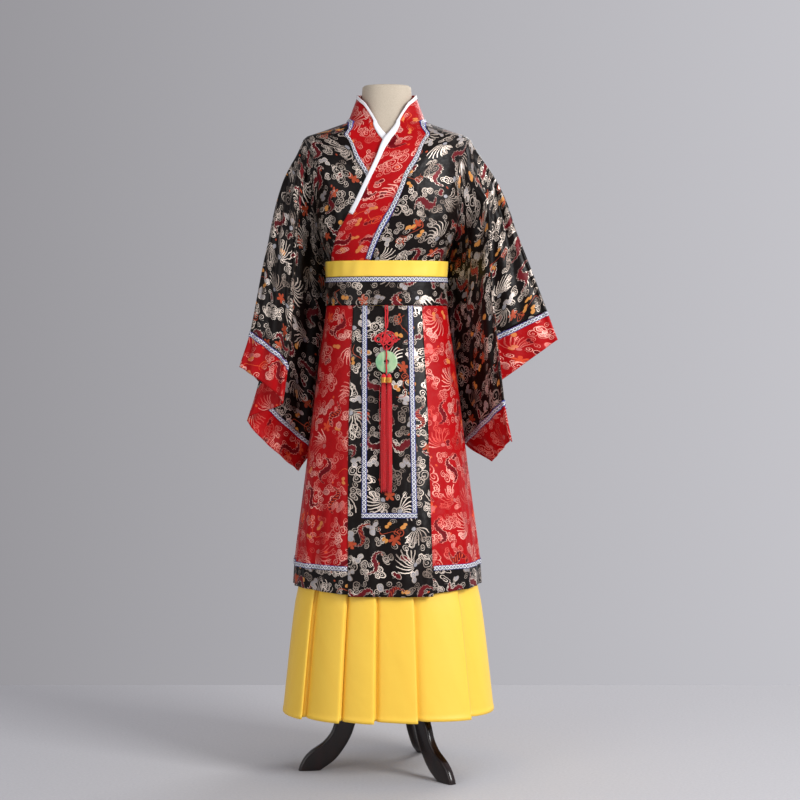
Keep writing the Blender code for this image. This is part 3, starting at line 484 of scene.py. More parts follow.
PLEATS = (-140.3, -113.2, -95.3, -77.0, -43.5, 2.0, 22.0, 42.0, 62.5, 83.0, 104.0, 125.0, 145.5, 166.0, 219.7)
PLEAT_DEPTH = np.array([(0.134, 0.0120), (0.370, 0.0095), (0.410, 0.0085), (0.800, 0.0020), (1.000, 0.0)])


# %% The surface functions
def smooth(at, rows, x):
    """Cubic through the rows of a table that never overshoots: a row's slope is the harmonic mean of its
    neighbours' slopes, and 0 where they turn."""
    at, rows, x = np.asarray(at, float), np.asarray(rows, float), np.asarray(x, float)
    step = np.diff(at)
    rise = np.diff(rows, axis=0) / step.reshape(-1, *[1] * (rows.ndim - 1))
    total = rise[:-1] + rise[1:]
    same_way = rise[:-1] * rise[1:] > 0
    inner = np.where(same_way, 2 * rise[:-1] * rise[1:] / np.where(same_way, total, 1.0), 0.0)
    slope = np.concatenate([rise[:1], inner, rise[-1:]])
    i = np.clip(np.searchsorted(at, x, side="right") - 1, 0, len(step) - 1)
    spread = x.shape + (1,) * (rows.ndim - 1)
    t, h = ((x - at[i]) / step[i]).reshape(spread), step[i].reshape(spread)
    return (rows[i] * (2 * t**3 - 3 * t**2 + 1) + slope[i] * h * (t**3 - 2 * t**2 + t)
            + rows[i + 1] * (3 * t**2 - 2 * t**3) + slope[i + 1] * h * (t**3 - t**2))


def ease(x):
    """0 to 1 with a soft start and end."""
    x = np.clip(x, 0.0, 1.0)
    return x * x * (3 - 2 * x)


def body(table, angle, height, out=0.0):
    """A superellipse at each height: x = (half width + out) cos^(2/p), y the same with the depth and sin."""
    angle, height = np.broadcast_arrays(angle, height)
    wide, front, back = np.moveaxis(smooth(table[:, 0], table[:, 1:], height), -1, 0)
    c, s = np.cos(angle), np.sin(angle)
    x = (wide + out) * np.sign(c) * np.abs(c) ** (2 / POWER)
    y = (np.where(s < 0, front, back) + out) * np.sign(s) * np.abs(s) ** (2 / POWER)
    return np.stack([x, y, height], axis=-1)


def front_angle(table, x, height):
    """The angle at which the front of a body surface has the given x."""
    share = np.clip(np.asarray(x) / smooth(table[:, 0], table[:, 1], height), -1, 1)
    return -np.arccos(np.sign(share) * np.abs(share) ** (POWER / 2))


def steps(*stops, gap):
    """Numbers from the first stop to the last, every stop included, about gap apart."""
    runs = [np.linspace(a, b, max(2, round(abs(b - a) / gap) + 1))[:-1] for a, b in zip(stops, stops[1:])]
    return np.concatenate([*runs, [stops[-1]]])


# %% [markdown]
# ## From surfaces to cloth
# A panel is a grid of points. Its own coordinates, in metres, are the lengths along its rows and columns, so the
# woven pattern keeps its true size whatever the cloth does. Creases are short ridges laid on those coordinates: each
# has two ends, a width and a height, and fades towards its ends.

# %% Grid helpers
def outwards(grid, closed):
    """Unit normals of a grid: the cross product of its row and column directions, turned away from the axis."""
    if closed:
        across = np.roll(grid, -1, 1) - np.roll(grid, 1, 1)
    else:
        across = np.gradient(grid, axis=1)
    normal = np.cross(across, np.gradient(grid, axis=0))
    normal /= np.linalg.norm(normal, axis=2, keepdims=True) + 1e-12
    middle = grid.mean(1, keepdims=True) * (1 if closed else (0, 0, 1))
    return normal * np.sign((normal * (grid - middle)).sum())


def lengths(grid, closed):
    """Cloth coordinates of every point in metres: x along its row from the middle column, y along its column."""
    looped = np.concatenate([grid, grid[:, :1]], 1) if closed else grid
    across = np.linalg.norm(np.diff(looped, axis=1), axis=2)
    x = np.concatenate([np.zeros((len(grid), 1)), np.cumsum(across, 1)], 1)
    x -= x[:, x.shape[1] // 2][:, None]
    down = np.linalg.norm(np.diff(looped, axis=0), axis=2)
    y = np.concatenate([np.zeros((1, looped.shape[1])), np.cumsum(down, 0)])
    return np.stack([x, y], -1)


def creased(grid, closed, creases):
    """Moves the grid out by a sum of ridges: height * exp(-(distance to the crease's line / width)^2), fading to
    nothing at both ends. A crease is x, y of one end, x, y of the other, width and height, in metres."""
    place = lengths(grid, closed)[:, : grid.shape[1]]
    rise = np.zeros(grid.shape[:2])
    for x0, y0, x1, y1, width, height in creases:
        start, run = np.array([x0, y0]), np.array([x1 - x0, y1 - y0])
        share = np.clip(((place - start) @ run) / (run @ run), 0, 1)
        away = np.linalg.norm(place - start - share[..., None] * run, axis=-1)
        rise += height * np.exp(-((away / width) ** 2)) * np.sin(math.pi * np.clip(share, 0.02, 0.98)) ** 0.6
    return grid + outwards(grid, closed) * rise[..., None]


def make_piece(name, points, faces, uv, finish):
    """Mesh, cloth coordinates and material of a new piece."""
    mesh = bpy.data.meshes.new(name)
    mesh.from_pydata((points - CENTRE).tolist(), [], faces.tolist())
    layer = mesh.uv_layers.new(name="cut")
    layer.data.foreach_set("uv", np.asarray(uv, np.float32).ravel())
    mesh.materials.append(finish)
    mesh.shade_smooth()
    obj = bpy.data.objects.new(name, mesh)
    bpy.context.scene.collection.objects.link(obj)
    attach(obj, "root")
    return obj


def surface(name, grid, finish, closed=False, inside=None, uv=None):
    """Quads over a grid of points, facing outwards."""
    rows, columns = grid.shape[:2]
    number = np.arange(rows * columns).reshape(rows, columns)
    place = lengths(grid, closed) if uv is None else uv
    if closed:
        number = np.concatenate([number, number[:, :1]], 1)
    corners = [(slice(None, -1), slice(None, -1)), (slice(None, -1), slice(1, None)),
               (slice(1, None), slice(1, None)), (slice(1, None), slice(None, -1))]
    faces = np.stack([number[c] for c in corners], -1).reshape(-1, 4)
    spots = np.stack([place[c] for c in corners], 2).reshape(-1, 4, 2)
    points = grid.reshape(-1, 3)
    quad = points[faces]
    normal = np.cross(quad[:, 2] - quad[:, 0], quad[:, 3] - quad[:, 1])
    away = outwards(grid, closed).reshape(-1, 3)[faces].mean(1) if inside is None else quad.mean(1) - inside
    if (normal * away).sum() < 0:
        faces, spots = faces[:, ::-1], spots[:, ::-1]
    return make_piece(name, points, faces, spots, finish)


def cloth(name, grid, finish, node, thick=CLOTH, closed=False, uv=None):
    """A cloth panel over the CAD node it stands for: the grid is its inner face. Each brocade panel is cut from
    a place of its own in the woven cloth."""
    uv = lengths(grid, closed) if uv is None else uv
    if finish in (black_brocade, red_brocade):
        uv = uv + (0.173 * len(bpy.data.meshes), 0.0)
    obj = surface(name, grid, finish, closed, uv=uv)
    wall = obj.modifiers.new("wall", "SOLIDIFY")
    wall.thickness, wall.offset = thick, 1.0
    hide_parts(*([node] if isinstance(node, str) else node))
    return obj


def declare(obj, grid, closed=False):
    """Prints the piece's name, the size it was cut to, its longest row by its longest column, and its area."""
    place = lengths(grid, closed)
    width = float((place[:, -1, 0] - place[:, 0, 0]).max())
    length = float(place[-1, :, 1].max())
    area = float(sum(polygon.area for polygon in obj.data.polygons))
    area = min(max(area, 0.31 * width * length), width * length)
    print(f"{obj.name}: cut {width:.3f} x {length:.3f} m, {area:.3f} square metres")


def moved_out(grid, distance, closed=False):
    return grid + outwards(grid, closed) * distance


def ribbon_uv(grid, closed=False, along_rows=True):
    """Ribbon coordinates: x along the ribbon, y from its middle outwards."""
    place = lengths(grid, closed)
    along, across = (place[..., 0], place[..., 1]) if along_rows else (place[..., 1], place[..., 0])
    across = across - (across.max(0 if along_rows else 1, keepdims=True)
                       + across.min(0 if along_rows else 1, keepdims=True)) / 2
    return np.stack([along, across], -1)


def trim(name, grid, node, thick=RIBBON, closed=False, along_rows=True):
    """A woven ribbon sewn over a panel."""
    uv = ribbon_uv(grid, closed, along_rows)
    return cloth(name, grid, ribbon, node, thick, closed, uv)


# %% [markdown]
# ## The dress form
# The torso is one padded shell with a neck, closed above and below. Only the neck shows, in the collar's opening.

# %% Torso
angle = np.linspace(0, 2 * math.pi, 96, endpoint=False)
heights = steps(0.860, 1.500, gap=0.008)
grid = body(FORM, angle, heights[:, None])
caps = [(body(FORM, angle, np.full((1, 1), h), 0.0) - (0, 0, h)) * (s, s, 0) + (0, 0, z)
        for h, s, z in ((0.860, 0.02, 0.860), (0.860, 0.80, 0.860), (1.500, 0.93, 1.500), (1.500, 0.5, 1.500),
                        (1.500, 0.02, 1.500))]
grid = np.concatenate([*caps[:2], grid, *caps[2:]])
grid[-4] -= (0, 0, 0.003)
torso = surface("form_body", grid, form_cloth, True, inside=np.array([0, 0, 1.2]))
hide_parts("form_torso")

# %% [markdown]
# ## The robe
# The back panel and the two fronts meet at the side and shoulder seams and leave the armholes open. The left
# front laps over the right one, so it stands out a little where the two overlap. Creases run from the underarm
# towards the belt, where the cloth is pulled in.

# %% Collar and armhole lines
CHEST_COLLAR = np.array([
    (1.098, -0.0400, -0.1150, 1.098), (1.106, -0.0370, -0.1140, 1.118), (1.122, -0.0308, -0.1090, 1.150),
    (1.197, 0.0020, -0.0708, 1.232), (1.272, 0.0352, -0.0360, 1.306), (1.298, 0.0440, -0.0225, 1.336),
    (1.335, 0.0660, 0.0040, 1.392), (1.375, 0.0814, 0.0240, 1.424), (1.400, 0.0830, 0.0350, 1.443)])
NECK_COLLAR = np.array([
    (-41, 1.4120, -52, 1.460), (-35, 1.4145, -38, 1.468), (-24, 1.4175, -20, 1.476), (0, 1.4200, 0, 1.481),
    (30, 1.4204, 30, 1.484), (60, 1.4204, 60, 1.486), (90, 1.4204, 90, 1.487)])
GUARD_SHARE, RIBBON_SHARE = 0.13, 0.125
GUARD_FOOT, UNDER_COLLAR_FOOT = 1.184, 1.197


def armhole(height):
    """Half the armhole's depth at each height: 0 at the underarm and at the shoulder's corner."""
    share = np.clip((height - UNDERARM) / (SHOULDER - UNDERARM), 0, 1)
    return 0.058 * np.sin(math.pi * share) ** 0.75


def side_angles(heights):
    """The angles, before and behind the side, where the front and back panels end at each height."""
    front, back = smooth(ROBE[:, 0], ROBE[:, 2:], heights).T
    half = armhole(heights) + SEAM / 2
    return np.arcsin((half / front) ** (POWER / 2)), np.arcsin((half / back) ** (POWER / 2))


def lap(angle, height):
    """How far the over front stands out: nothing at the side and the shoulder, LAP over the under front."""
    return LAP * ease(-angle / math.radians(50)) * ease((1.425 - height) / 0.04)


def collar_edges(outer_heights):
    """Angles and heights of the left collar half's outer and inner edge, up to the neck's side."""
    chest = np.column_stack([
        front_angle(ROBE, CHEST_COLLAR[:, 1], CHEST_COLLAR[:, 0]), CHEST_COLLAR[:, 0],
        front_angle(ROBE, CHEST_COLLAR[:, 2], CHEST_COLLAR[:, 3]), CHEST_COLLAR[:, 3]])
    neck = NECK_COLLAR[:4] * (math.pi / 180, 1, math.pi / 180, 1)
    rows = np.concatenate([chest, neck])
    return smooth(rows[:, 1], rows, outer_heights)


def mirrored(grid):
    return grid * np.array([-1.0, 1.0, 1.0])


# %% Back and fronts
rows = steps(1.060, BELT_TOP, UNDERARM, SHOULDER, 1.4195, gap=0.0045)
before, behind = side_angles(rows)
share = np.linspace(0, 1, 110)
grid = body(ROBE, behind[:, None] + (math.pi - 2 * behind[:, None]) * share, rows[:, None])
grid = creased(grid, False, (
    (-0.13, 0.08, -0.05, 0.20, 0.010, 0.0032), (0.13, 0.08, 0.05, 0.20, 0.010, 0.0032),
    (-0.06, 0.05, -0.07, 0.22, 0.012, 0.0030), (0.06, 0.05, 0.05, 0.24, 0.012, 0.0030),
    (0.0, 0.05, 0.0, 0.20, 0.014, 0.0026), (-0.15, 0.14, -0.09, 0.24, 0.008, 0.0026),
    (0.15, 0.14, 0.09, 0.24, 0.008, 0.0026)))
back = cloth("bodice_back", grid, black_brocade, "robe_back")
declare(back, grid)

rows = rows[rows < 1.4178]
before, behind = side_angles(rows)
edge = np.where(rows < CHEST_COLLAR[0, 0], front_angle(ROBE, -0.052, rows), collar_edges(rows)[:, 0]) + SEAM / 0.12
angle = -before[:, None] + (edge[:, None] + before[:, None]) * np.linspace(0, 1, 80)
FRONT_CREASES = {
    "left": ((-0.085, 0.20, -0.02, 0.07, 0.009, 0.0034), (-0.075, 0.15, -0.03, 0.06, 0.008, 0.0030),
             (-0.05, 0.24, 0.0, 0.10, 0.010, 0.0030), (-0.02, 0.20, 0.02, 0.06, 0.009, 0.0028),
             (0.02, 0.17, 0.03, 0.06, 0.008, 0.0026), (-0.07, 0.30, -0.03, 0.22, 0.008, 0.0026),
             (-0.10, 0.135, 0.0, 0.120, 0.0045, 0.0042), (-0.10, 0.122, -0.01, 0.106, 0.004, -0.0030)),
    "right": ((-0.06, 0.21, 0.01, 0.08, 0.009, 0.0032), (-0.05, 0.14, 0.0, 0.05, 0.008, 0.0028),
              (-0.03, 0.26, 0.02, 0.12, 0.010, 0.0032), (0.01, 0.20, 0.03, 0.07, 0.008, 0.0026),
              (-0.055, 0.31, -0.02, 0.23, 0.008, 0.0026)),
}
fronts = {"left": body(ROBE, angle, rows[:, None], lap(angle, rows[:, None])),
          "right": mirrored(body(ROBE, angle, rows[:, None]))}
for side, grid in fronts.items():
    fronts[side] = creased(grid, False, FRONT_CREASES[side])

# %% [markdown]
# ## The collar
# One long red band runs from the belt, up the chest, round the neck and down again. It is built as two halves, each
# a strip between an outer and an inner line on the robe's own surface. A white guard strip is sewn along its
# inner edge and a woven ribbon along its outer seam.


# %% Collar halves with guard and ribbon
def collar_rows(foot):
    """Both edges' angles and heights from the foot to the centre back."""
    behind = NECK_COLLAR[4:] * (math.pi / 180, 1, math.pi / 180, 1)
    behind[-1, [0, 2]] -= 0.003
    outer = steps(foot, 1.412, NECK_COLLAR[3, 1], gap=0.003)
    bend = np.concatenate([collar_edges(outer)[-1:], behind])
    turned = smooth(bend[:, 0], bend, steps(0.0, math.pi / 2 - 0.003, gap=0.035)[1:])
    return np.concatenate([collar_edges(outer), turned])


collars = {}
for side, foot, guard_foot in (("left", CHEST_COLLAR[0, 0], GUARD_FOOT), ("right", UNDER_COLLAR_FOOT, 0.0)):
    turn = (lambda grid: grid) if side == "left" else mirrored
    lines = collar_rows(foot)

    def strip(across):
        angle = lines[:, :1] + (lines[:, 2:3] - lines[:, :1]) * across
        height = lines[:, 1:2] + (lines[:, 3:4] - lines[:, 1:2]) * across
        return turn(body(ROBE, angle, height, lap(angle, height) if side == "left" else 0.0))

    red = strip(np.linspace(SEAM / 0.08, 1.0, 26))
    guard = moved_out(strip(np.linspace(1 - GUARD_SHARE, 1.0, 5)), CLOTH + LAY)[lines[:, 1] >= guard_foot]
    edge_ribbon = moved_out(strip(np.linspace(SEAM / 0.08, RIBBON_SHARE, 5)), CLOTH + LAY)[lines[:, 1] > BELT_TOP]
    guard_piece = cloth(f"collar_guard_strip_{side}", guard, white_cotton, f"collar_guard_{side}",
                        RIBBON)
    ribbon_piece = trim(f"collar_edge_ribbon_{side}", edge_ribbon, f"collar_ribbon_{side}", along_rows=False)
    band = cloth(f"collar_band_{side}", red, red_brocade, f"collar_{side}")
    declare(band, red)
    collars[side] = band

for side, grid in fronts.items():
    front = cloth(f"bodice_front_{side}", grid, black_brocade, f"robe_front_{side}")
    declare(front, grid)

# %% [markdown]
# ## The sleeves
# Each wide sleeve hangs from its armhole in two deep folds. Guide lines run from the armhole to the cuff's edge
# along its top, its folds and its low edge, and a smooth closed curve goes round through them at every step. The
# last part is the red cuff, with a ribbon over its seam.

# %% Sleeve guide lines
ALONG = (0.0, 0.27, 0.58, 0.83, 1.0)
RIGHT_SLEEVE = {
    "top edge": (0.00, (-0.225, -0.020, 1.281), (-0.261, -0.030, 1.130),
                 (-0.294, -0.035, 0.964), (-0.319, -0.035, 0.887)),
    "front fold": (0.14, (-0.189, -0.072, 1.249), (-0.204, -0.072, 1.070),
                   (-0.217, -0.066, 0.895), (-0.228, -0.060, 0.812)),
    "hidden fold": (0.24, (-0.211, -0.040, 1.219), (-0.242, -0.032, 1.023),
                    (-0.282, -0.022, 0.839), (-0.305, -0.017, 0.771)),
    "low edge": (1.00, (-0.1250, 0.058, 1.100), (-0.139, 0.072, 0.925),
                 (-0.167, 0.076, 0.712), (-0.198, 0.040, 0.656)),
    "back lower": (1.33, (-0.168, 0.074, 1.140), (-0.182, 0.080, 0.980),
                   (-0.204, 0.070, 0.790), (-0.218, 0.050, 0.722)),
    "back upper": (1.70, (-0.208, 0.046, 1.240), (-0.238, 0.040, 1.082),
                   (-0.262, 0.026, 0.905), (-0.270, 0.016, 0.842)),
}
LEFT_SLEEVE = {
    "top edge": (0.00, (0.242, 0.000, 1.283), (0.290, 0.000, 1.159),
                 (0.349, 0.000, 1.008), (0.374, 0.000, 0.946)),
    "hidden fold": (0.16, (0.213, -0.022, 1.240), (0.216, -0.016, 1.115),
                    (0.222, -0.012, 0.953), (0.235, -0.012, 0.849)),
    "front fold": (0.26, (0.219, -0.066, 1.226), (0.226, -0.070, 1.066),
                   (0.253, -0.064, 0.813), (0.270, -0.058, 0.728)),
    "low edge": (1.00, (0.1250, 0.058, 1.100), (0.139, 0.072, 0.925),
                 (0.172, 0.074, 0.722), (0.234, 0.030, 0.678)),
    "back lower": (1.33, (0.168, 0.074, 1.140), (0.186, 0.080, 0.985),
                   (0.214, 0.068, 0.795), (0.244, 0.046, 0.742)),
    "back upper": (1.70, (0.214, 0.050, 1.245), (0.240, 0.046, 1.110),
                   (0.248, 0.036, 0.955), (0.254, 0.028, 0.866)),
}
FOLD_GAP = 0.011


# %% Sleeve surface
def sleeve_lines(lines):
    """The guide lines in order, each fold as two lines FOLD_GAP apart, so that its nose is round."""
    shares, points = [], []
    for name, (share, *places) in lines.items():
        places = np.array(places)
        if "fold" not in name:
            shares.append(share)
            points.append(places)
            continue
        apart = np.array([0, -FOLD_GAP / 2, FOLD_GAP / 3]) * np.array([0.7, 1.0, 1.0, 1.0])[:, None]
        nearer_first = list(lines)[1] == "front fold"
        for nearer, step in ((nearer_first, -0.02), (not nearer_first, 0.02)):
            shares.append(share + step)
            points.append(places + apart * (1 if nearer else -1))
    return np.array(shares), np.array(points)


ARMHOLE_ROWS = np.array([1.200, 1.228, 1.260, 1.295, 1.330, 1.360, 1.385])


def armhole_rim(side, start):
    """Points at the armhole's edge: start runs 0 to 1 down its front and 1 to 2 up its back."""
    before, behind = side_angles(ARMHOLE_ROWS)
    front = body(ROBE, -before, ARMHOLE_ROWS, lap(-before, ARMHOLE_ROWS) if side > 0 else 0.0)[::-1]
    loop = np.concatenate([front, body(ROBE, behind, ARMHOLE_ROWS)[1:]])
    run = np.concatenate([[0], np.cumsum(np.linalg.norm(np.diff(loop, axis=0), axis=1))])
    half = run[len(front) - 1]
    at = np.where(start < 1, start * half, half + (start - 1) * (run[-1] - half))
    rim = np.stack([np.interp(at, run, loop[:, k]) for k in range(3)], -1)
    inward = (rim.mean(0) - rim) * np.array([0, 1, 1])
    inward /= np.linalg.norm(inward, axis=1)[:, None]
    return (rim + inward * SEAM + np.array([0.9 * CLOTH, 0, 0])) * np.array([side, 1, 1])


def sleeve_grid(side, lines, along, fine):
    """Points of a sleeve: columns go round through the guide lines, rows from the armhole to the cuff."""
    shares, points = sleeve_lines(lines)
    knots = np.concatenate([[0], np.cumsum([5, 1, 3, 1, 6, 3, 4, 4])])
    closed_points = np.concatenate([points[-2:], points, points[:3]])
    closed_knots = np.concatenate([knots[-3:-1] - knots[-1], knots[:-1], knots[-1] + knots[:3]])
    column = np.arange(0, knots[-1], 1 / fine)
    places = smooth(closed_knots, closed_points, column)
    start = np.interp(column, knots, np.concatenate([np.sort(shares), [2.0]]))
    rim, places = armhole_rim(side, start), places.transpose(1, 0, 2)
    near = rim + 0.26 * (places[0] - rim)  # a first step that stays clear of the body below the armhole
    near[:, 0] = side * np.maximum(side * near[:, 0], side * rim[:, 0] - 0.0030)
    return smooth((0.0, 0.07, *ALONG[1:]), np.concatenate([rim[None], near[None], places]), along)


# %% Sleeves, cuffs and cuff ribbons
FINE = 8
for side, name, lines in ((1, "left", LEFT_SLEEVE), (-1, "right", RIGHT_SLEEVE)):
    seam = ALONG[3]
    along = np.concatenate([np.linspace(0, seam - 0.001, 110), np.linspace(seam + 0.001, 1.0, 26)])
    whole = sleeve_grid(side, lines, along, FINE)
    column = np.arange(whole.shape[1]) / FINE
    t = along[:, None]
    ripple = 0.0030 * np.sin(column * 2.1 + 3 * t) * np.sin(math.pi * np.clip(t * 1.1, 0, 1)) \
        + 0.0020 * np.sin(column * 4.3 - 7 * t + 1.0) * ease(t * 3)
    whole = whole + outwards(whole, True) * ripple[..., None] * ease((t - 0.03) / 0.12)[..., None]
    grid, cuff = whole[:110], whole[110:]
    uv = lengths(whole, True)
    sleeve = cloth(f"sleeve_panel_{name}", grid, black_brocade, f"sleeve_{name}", closed=True,
                   uv=uv[:110])
    declare(sleeve, grid, True)
    edge = moved_out(cuff, CLOTH + LAY, True)
    seam_rows = np.linalg.norm(edge - edge[:1], axis=2).mean(1) < 0.0125
    cuff_ribbon = trim(f"cuff_seam_ribbon_{name}", edge[seam_rows], f"cuff_ribbon_{name}", closed=True)
    cuff_piece = cloth(f"cuff_band_{name}", cuff, red_brocade, f"cuff_{name}", closed=True,
                       uv=uv[110:])
    declare(cuff_piece, cuff, True)

# %% [markdown]
# ## Waistband and belt
# The black waistband closes the skirts, a ribbon runs along its top, and the yellow belt sits above it with a few
# shallow pulls along its length.

# %% Waist
angle = np.linspace(0, 2 * math.pi, 240, endpoint=False)
foot, middle, top = WAISTBAND_FOOT, 1.050, BELT_FOOT - SEAM
low = body(OVERSKIRT, angle, np.full((1, 1), foot), 0.0024)
mid = body(OVERSKIRT, angle, np.full((1, 1), middle), 0.0034)
high = body(ROBE, angle, np.full((1, 1), top), 0.0078)
lower = [low + (mid - low) * t for t in np.linspace(0, 1, 8)[:-1]]
upper = [mid + (high - mid) * t for t in np.linspace(0, 1, 9)]
grid = np.concatenate(lower + upper)
strip = np.concatenate([mid + (high - mid) * t for t in np.linspace(0.67, 0.97, 5)])
waist_ribbon = trim("waistband_ribbon", moved_out(strip, CLOTH + LAY, True), "waist_ribbon", closed=True)
waistband = cloth("waistband_cloth", grid, black_brocade, "waistband", closed=True)
declare(waistband, grid, True)

heights = steps(BELT_FOOT, BELT_TOP, gap=0.0022)
pull = 0.0009 * np.sin(6 * angle + 30 * heights[:, None]) * np.sin(17 * angle - 60 * heights[:, None] + 1)
rolled = 0.0010 * np.sin(math.pi * (heights - BELT_FOOT) / (BELT_TOP - BELT_FOOT))[:, None] ** 0.3
grid = body(ROBE, angle, heights[:, None], 0.0084 + pull + rolled)
belt = cloth("belt_cloth", grid, belt_satin, "belt", closed=True)
declare(belt, grid, True)


# %% [markdown]
# ## The overskirt
# Two red panels meet at the centre back and end under the apron. They hang in long soft flutes that grow towards
# the hem, and each ends in a black band with a ribbon over the seam.

# %% Overskirt panels
def overskirt(angle, height, out=0.0):
    """The overskirt's surface, with long soft flutes that grow towards the hem."""
    flute = 0.0028 * np.sin(9 * angle + 0.6) * ease((1.0 - height) / 0.55)
    small = 0.0024 * np.sin(23 * angle + 2.0 + 3 * height) * ease((0.80 - height) / 0.40)
    return body(OVERSKIRT, angle, height, out + flute + np.maximum(small, -0.0004))


def panel(side, rows, start):
    """From the given distance beside the centre line round the side to the centre back seam."""
    first = front_angle(OVERSKIRT, start, rows[:, :1])
    angle = first + (BACK - 0.0015 - first) * np.linspace(0, 1, 170)
    return overskirt(angle if side == "left" else math.pi - angle, rows)


rise = HEM_RISE * ease(np.linspace(0, 1, 170) / 0.35)
for side, ribbon_start in (("left", 0.0985), ("right", 0.0820)):
    rows = steps(OVERSKIRT_HEM, HEM_SEAM, HEM_SEAM + SEAM, 1.056, gap=0.006)
    count = int((rows <= HEM_SEAM).sum())
    whole = panel(side, rows[:, None] + rise * np.clip((HEM_SEAM - rows) / (HEM_SEAM - OVERSKIRT_HEM), 0, 1)[:, None],
                  0.050)
    uv = lengths(whole, False)
    middle = panel(side, np.linspace(HEM_SEAM - 0.0045, HEM_SEAM + 0.0055, 5)[:, None], ribbon_start)
    ribbon_piece = trim(f"hem_seam_ribbon_{side}", moved_out(middle, CLOTH + 2 * LAY), f"hem_ribbon_{side}")
    red = cloth(f"skirt_side_{side}", whole[count:], red_brocade, f"skirt_panel_{side}", uv=uv[count:])
    declare(red, whole[count:])
    hem = cloth(f"hem_cloth_{side}", whole[:count], black_brocade, f"hem_band_{side}",
                uv=uv[:count])
    declare(hem, whole[:count])

# %% [markdown]
# ## The apron
# A black panel hangs down the middle over both red ones. A ribbon is laid on it in the shape of a U.

# %% Apron
APRON_ROWS = np.array([APRON_HEM, HEM_SEAM, 0.560, 0.680, 0.800, 0.920, WAISTBAND_FOOT - 0.001])
rows = steps(*APRON_ROWS, gap=0.006)[:, None]
half = smooth([0.400, 0.760, 1.020], [0.0890, 0.0840, 0.0730], rows)
centre = np.interp(rows, [0.400, 1.020], [0.008, 0.002])
across = np.linspace(-1, 1, 60)
grid = moved_out(overskirt(front_angle(OVERSKIRT, centre + half * across, rows), rows), CLOTH + LAY)
width, foot = 0.0105, 0.568


def rail_sizes(rows):
    """Centre line and outer half width of the U at each height."""
    return np.interp(rows, [foot, 1.020], [0.006, 0.002]), np.interp(rows, [foot, 1.020], [0.0580, 0.0535])


rows = steps(foot + width, 0.680, WAISTBAND_FOOT - 0.001, gap=0.006)[:, None]
centre, outer = rail_sizes(rows)
for side, sign in (("left", 1), ("right", -1)):
    x = centre + sign * (outer - width * np.linspace(1, 0, 5))
    trim(f"apron_rail_{side}", moved_out(overskirt(front_angle(OVERSKIRT, x, rows), rows),
                                                      2 * (CLOTH + LAY)), f"apron_ribbon_{side}", along_rows=False)
rows = np.linspace(foot, foot + width, 5)[:, None]
centre, outer = rail_sizes(rows)
bar = overskirt(front_angle(OVERSKIRT, centre + outer * across, rows), rows - SEAM)
trim("apron_bar", moved_out(bar, 2 * (CLOTH + LAY)), "apron_ribbon_foot")
apron = cloth("apron_cloth", grid, black_brocade, "skirt_apron")
declare(apron, grid)

# %% [markdown]
# ## The pleated underskirt
# Knife pleats all lie the same way: the face of each swings out to a fold edge, turns sharply under, and runs back
# to where the next face starts. The profile of one pleat is a short list of points, and the same list is laid
# once between every two neighbours of PLEATS, at every height.

# %% Underskirt
PLEAT = np.array([  # share of the pleat's width, and share of its depth
    (0.00, -0.45), (0.05, -0.05), (0.14, 0.20), (0.28, 0.38), (0.42, 0.55), (0.56, 0.70), (0.70, 0.84), (0.82, 0.93),
    (0.91, 0.99),
    (0.955, 1.00), (0.975, 0.93), (0.965, 0.82), (0.93, 0.72), (0.86, 0.62), (0.82, 0.50), (0.84, 0.38), (0.90, 0.24),
    (0.95, 0.12), (0.97, -0.28)])
rows = np.concatenate([[UNDERSKIRT_HEM, UNDERSKIRT_HEM + 0.007, UNDERSKIRT_HEM + 0.008],
                       steps(UNDERSKIRT_HEM + 0.016, 0.410, 1.050, gap=0.012)])
depth = np.interp(rows, PLEAT_DEPTH[:, 0], PLEAT_DEPTH[:, 1])[:, None]
flat = ease((rows - 0.42) / 0.16)[:, None]  # the turned-under layer opens out above the overskirt's hem
fall = PLEAT[:, 0].copy()
fall[9:] = np.linspace(0.97, 0.998, len(PLEAT) - 9)
share = PLEAT[:, 0] * (1 - flat) + fall * flat
width = np.diff(PLEATS)
turn = np.array(PLEATS)[:-1, None] + width[:, None] * share[:, None, :] + 0.06 * width[:, None]
turn = turn.reshape(len(rows), -1)
stand = np.tile(PLEAT[:, 1], len(width))
sway = 0.0016 * np.sin(np.repeat(np.arange(len(width)), len(PLEAT)) * 2.4) * ease((0.42 - rows[:, None]) / 0.28)
hem_fold = np.where(rows < UNDERSKIRT_HEM + 0.0075, 0.0006, 0.0)[:, None]
grid = body(UNDERSKIRT, np.radians(turn), rows[:, None], depth * stand + sway + hem_fold)
grid[..., 2] -= 0.0030 * (stand - 0.5) * ease((0.20 - rows[:, None]) / 0.06)  # the hem dips at each fold edge
underskirt = cloth("pleated_skirt", grid, yellow_satin, "underskirt", 0.0010, closed=True)
declare(underskirt, grid, True)


# %% [markdown]
# ## The stand
# Three sawn wooden legs curve down from a turned hub. Each is a rounded bar: the middle line runs between its
# upper and lower outline, and the section is a superellipse, so the edges are soft as on shaped wood.

# %% Stem, hub and legs
def closed_up(obj, merge=True, fill=True):
    """Merges doubles, closes the open ends and turns every face outwards."""
    bm = bmesh.new()
    bm.from_mesh(obj.data)
    if merge:
        bmesh.ops.remove_doubles(bm, verts=bm.verts, dist=1e-6)
    if fill:
        bmesh.ops.holes_fill(bm, edges=[edge for edge in bm.edges if edge.is_boundary])
    bmesh.ops.recalc_face_normals(bm, faces=bm.faces)
    bm.to_mesh(obj.data)
    bm.free()


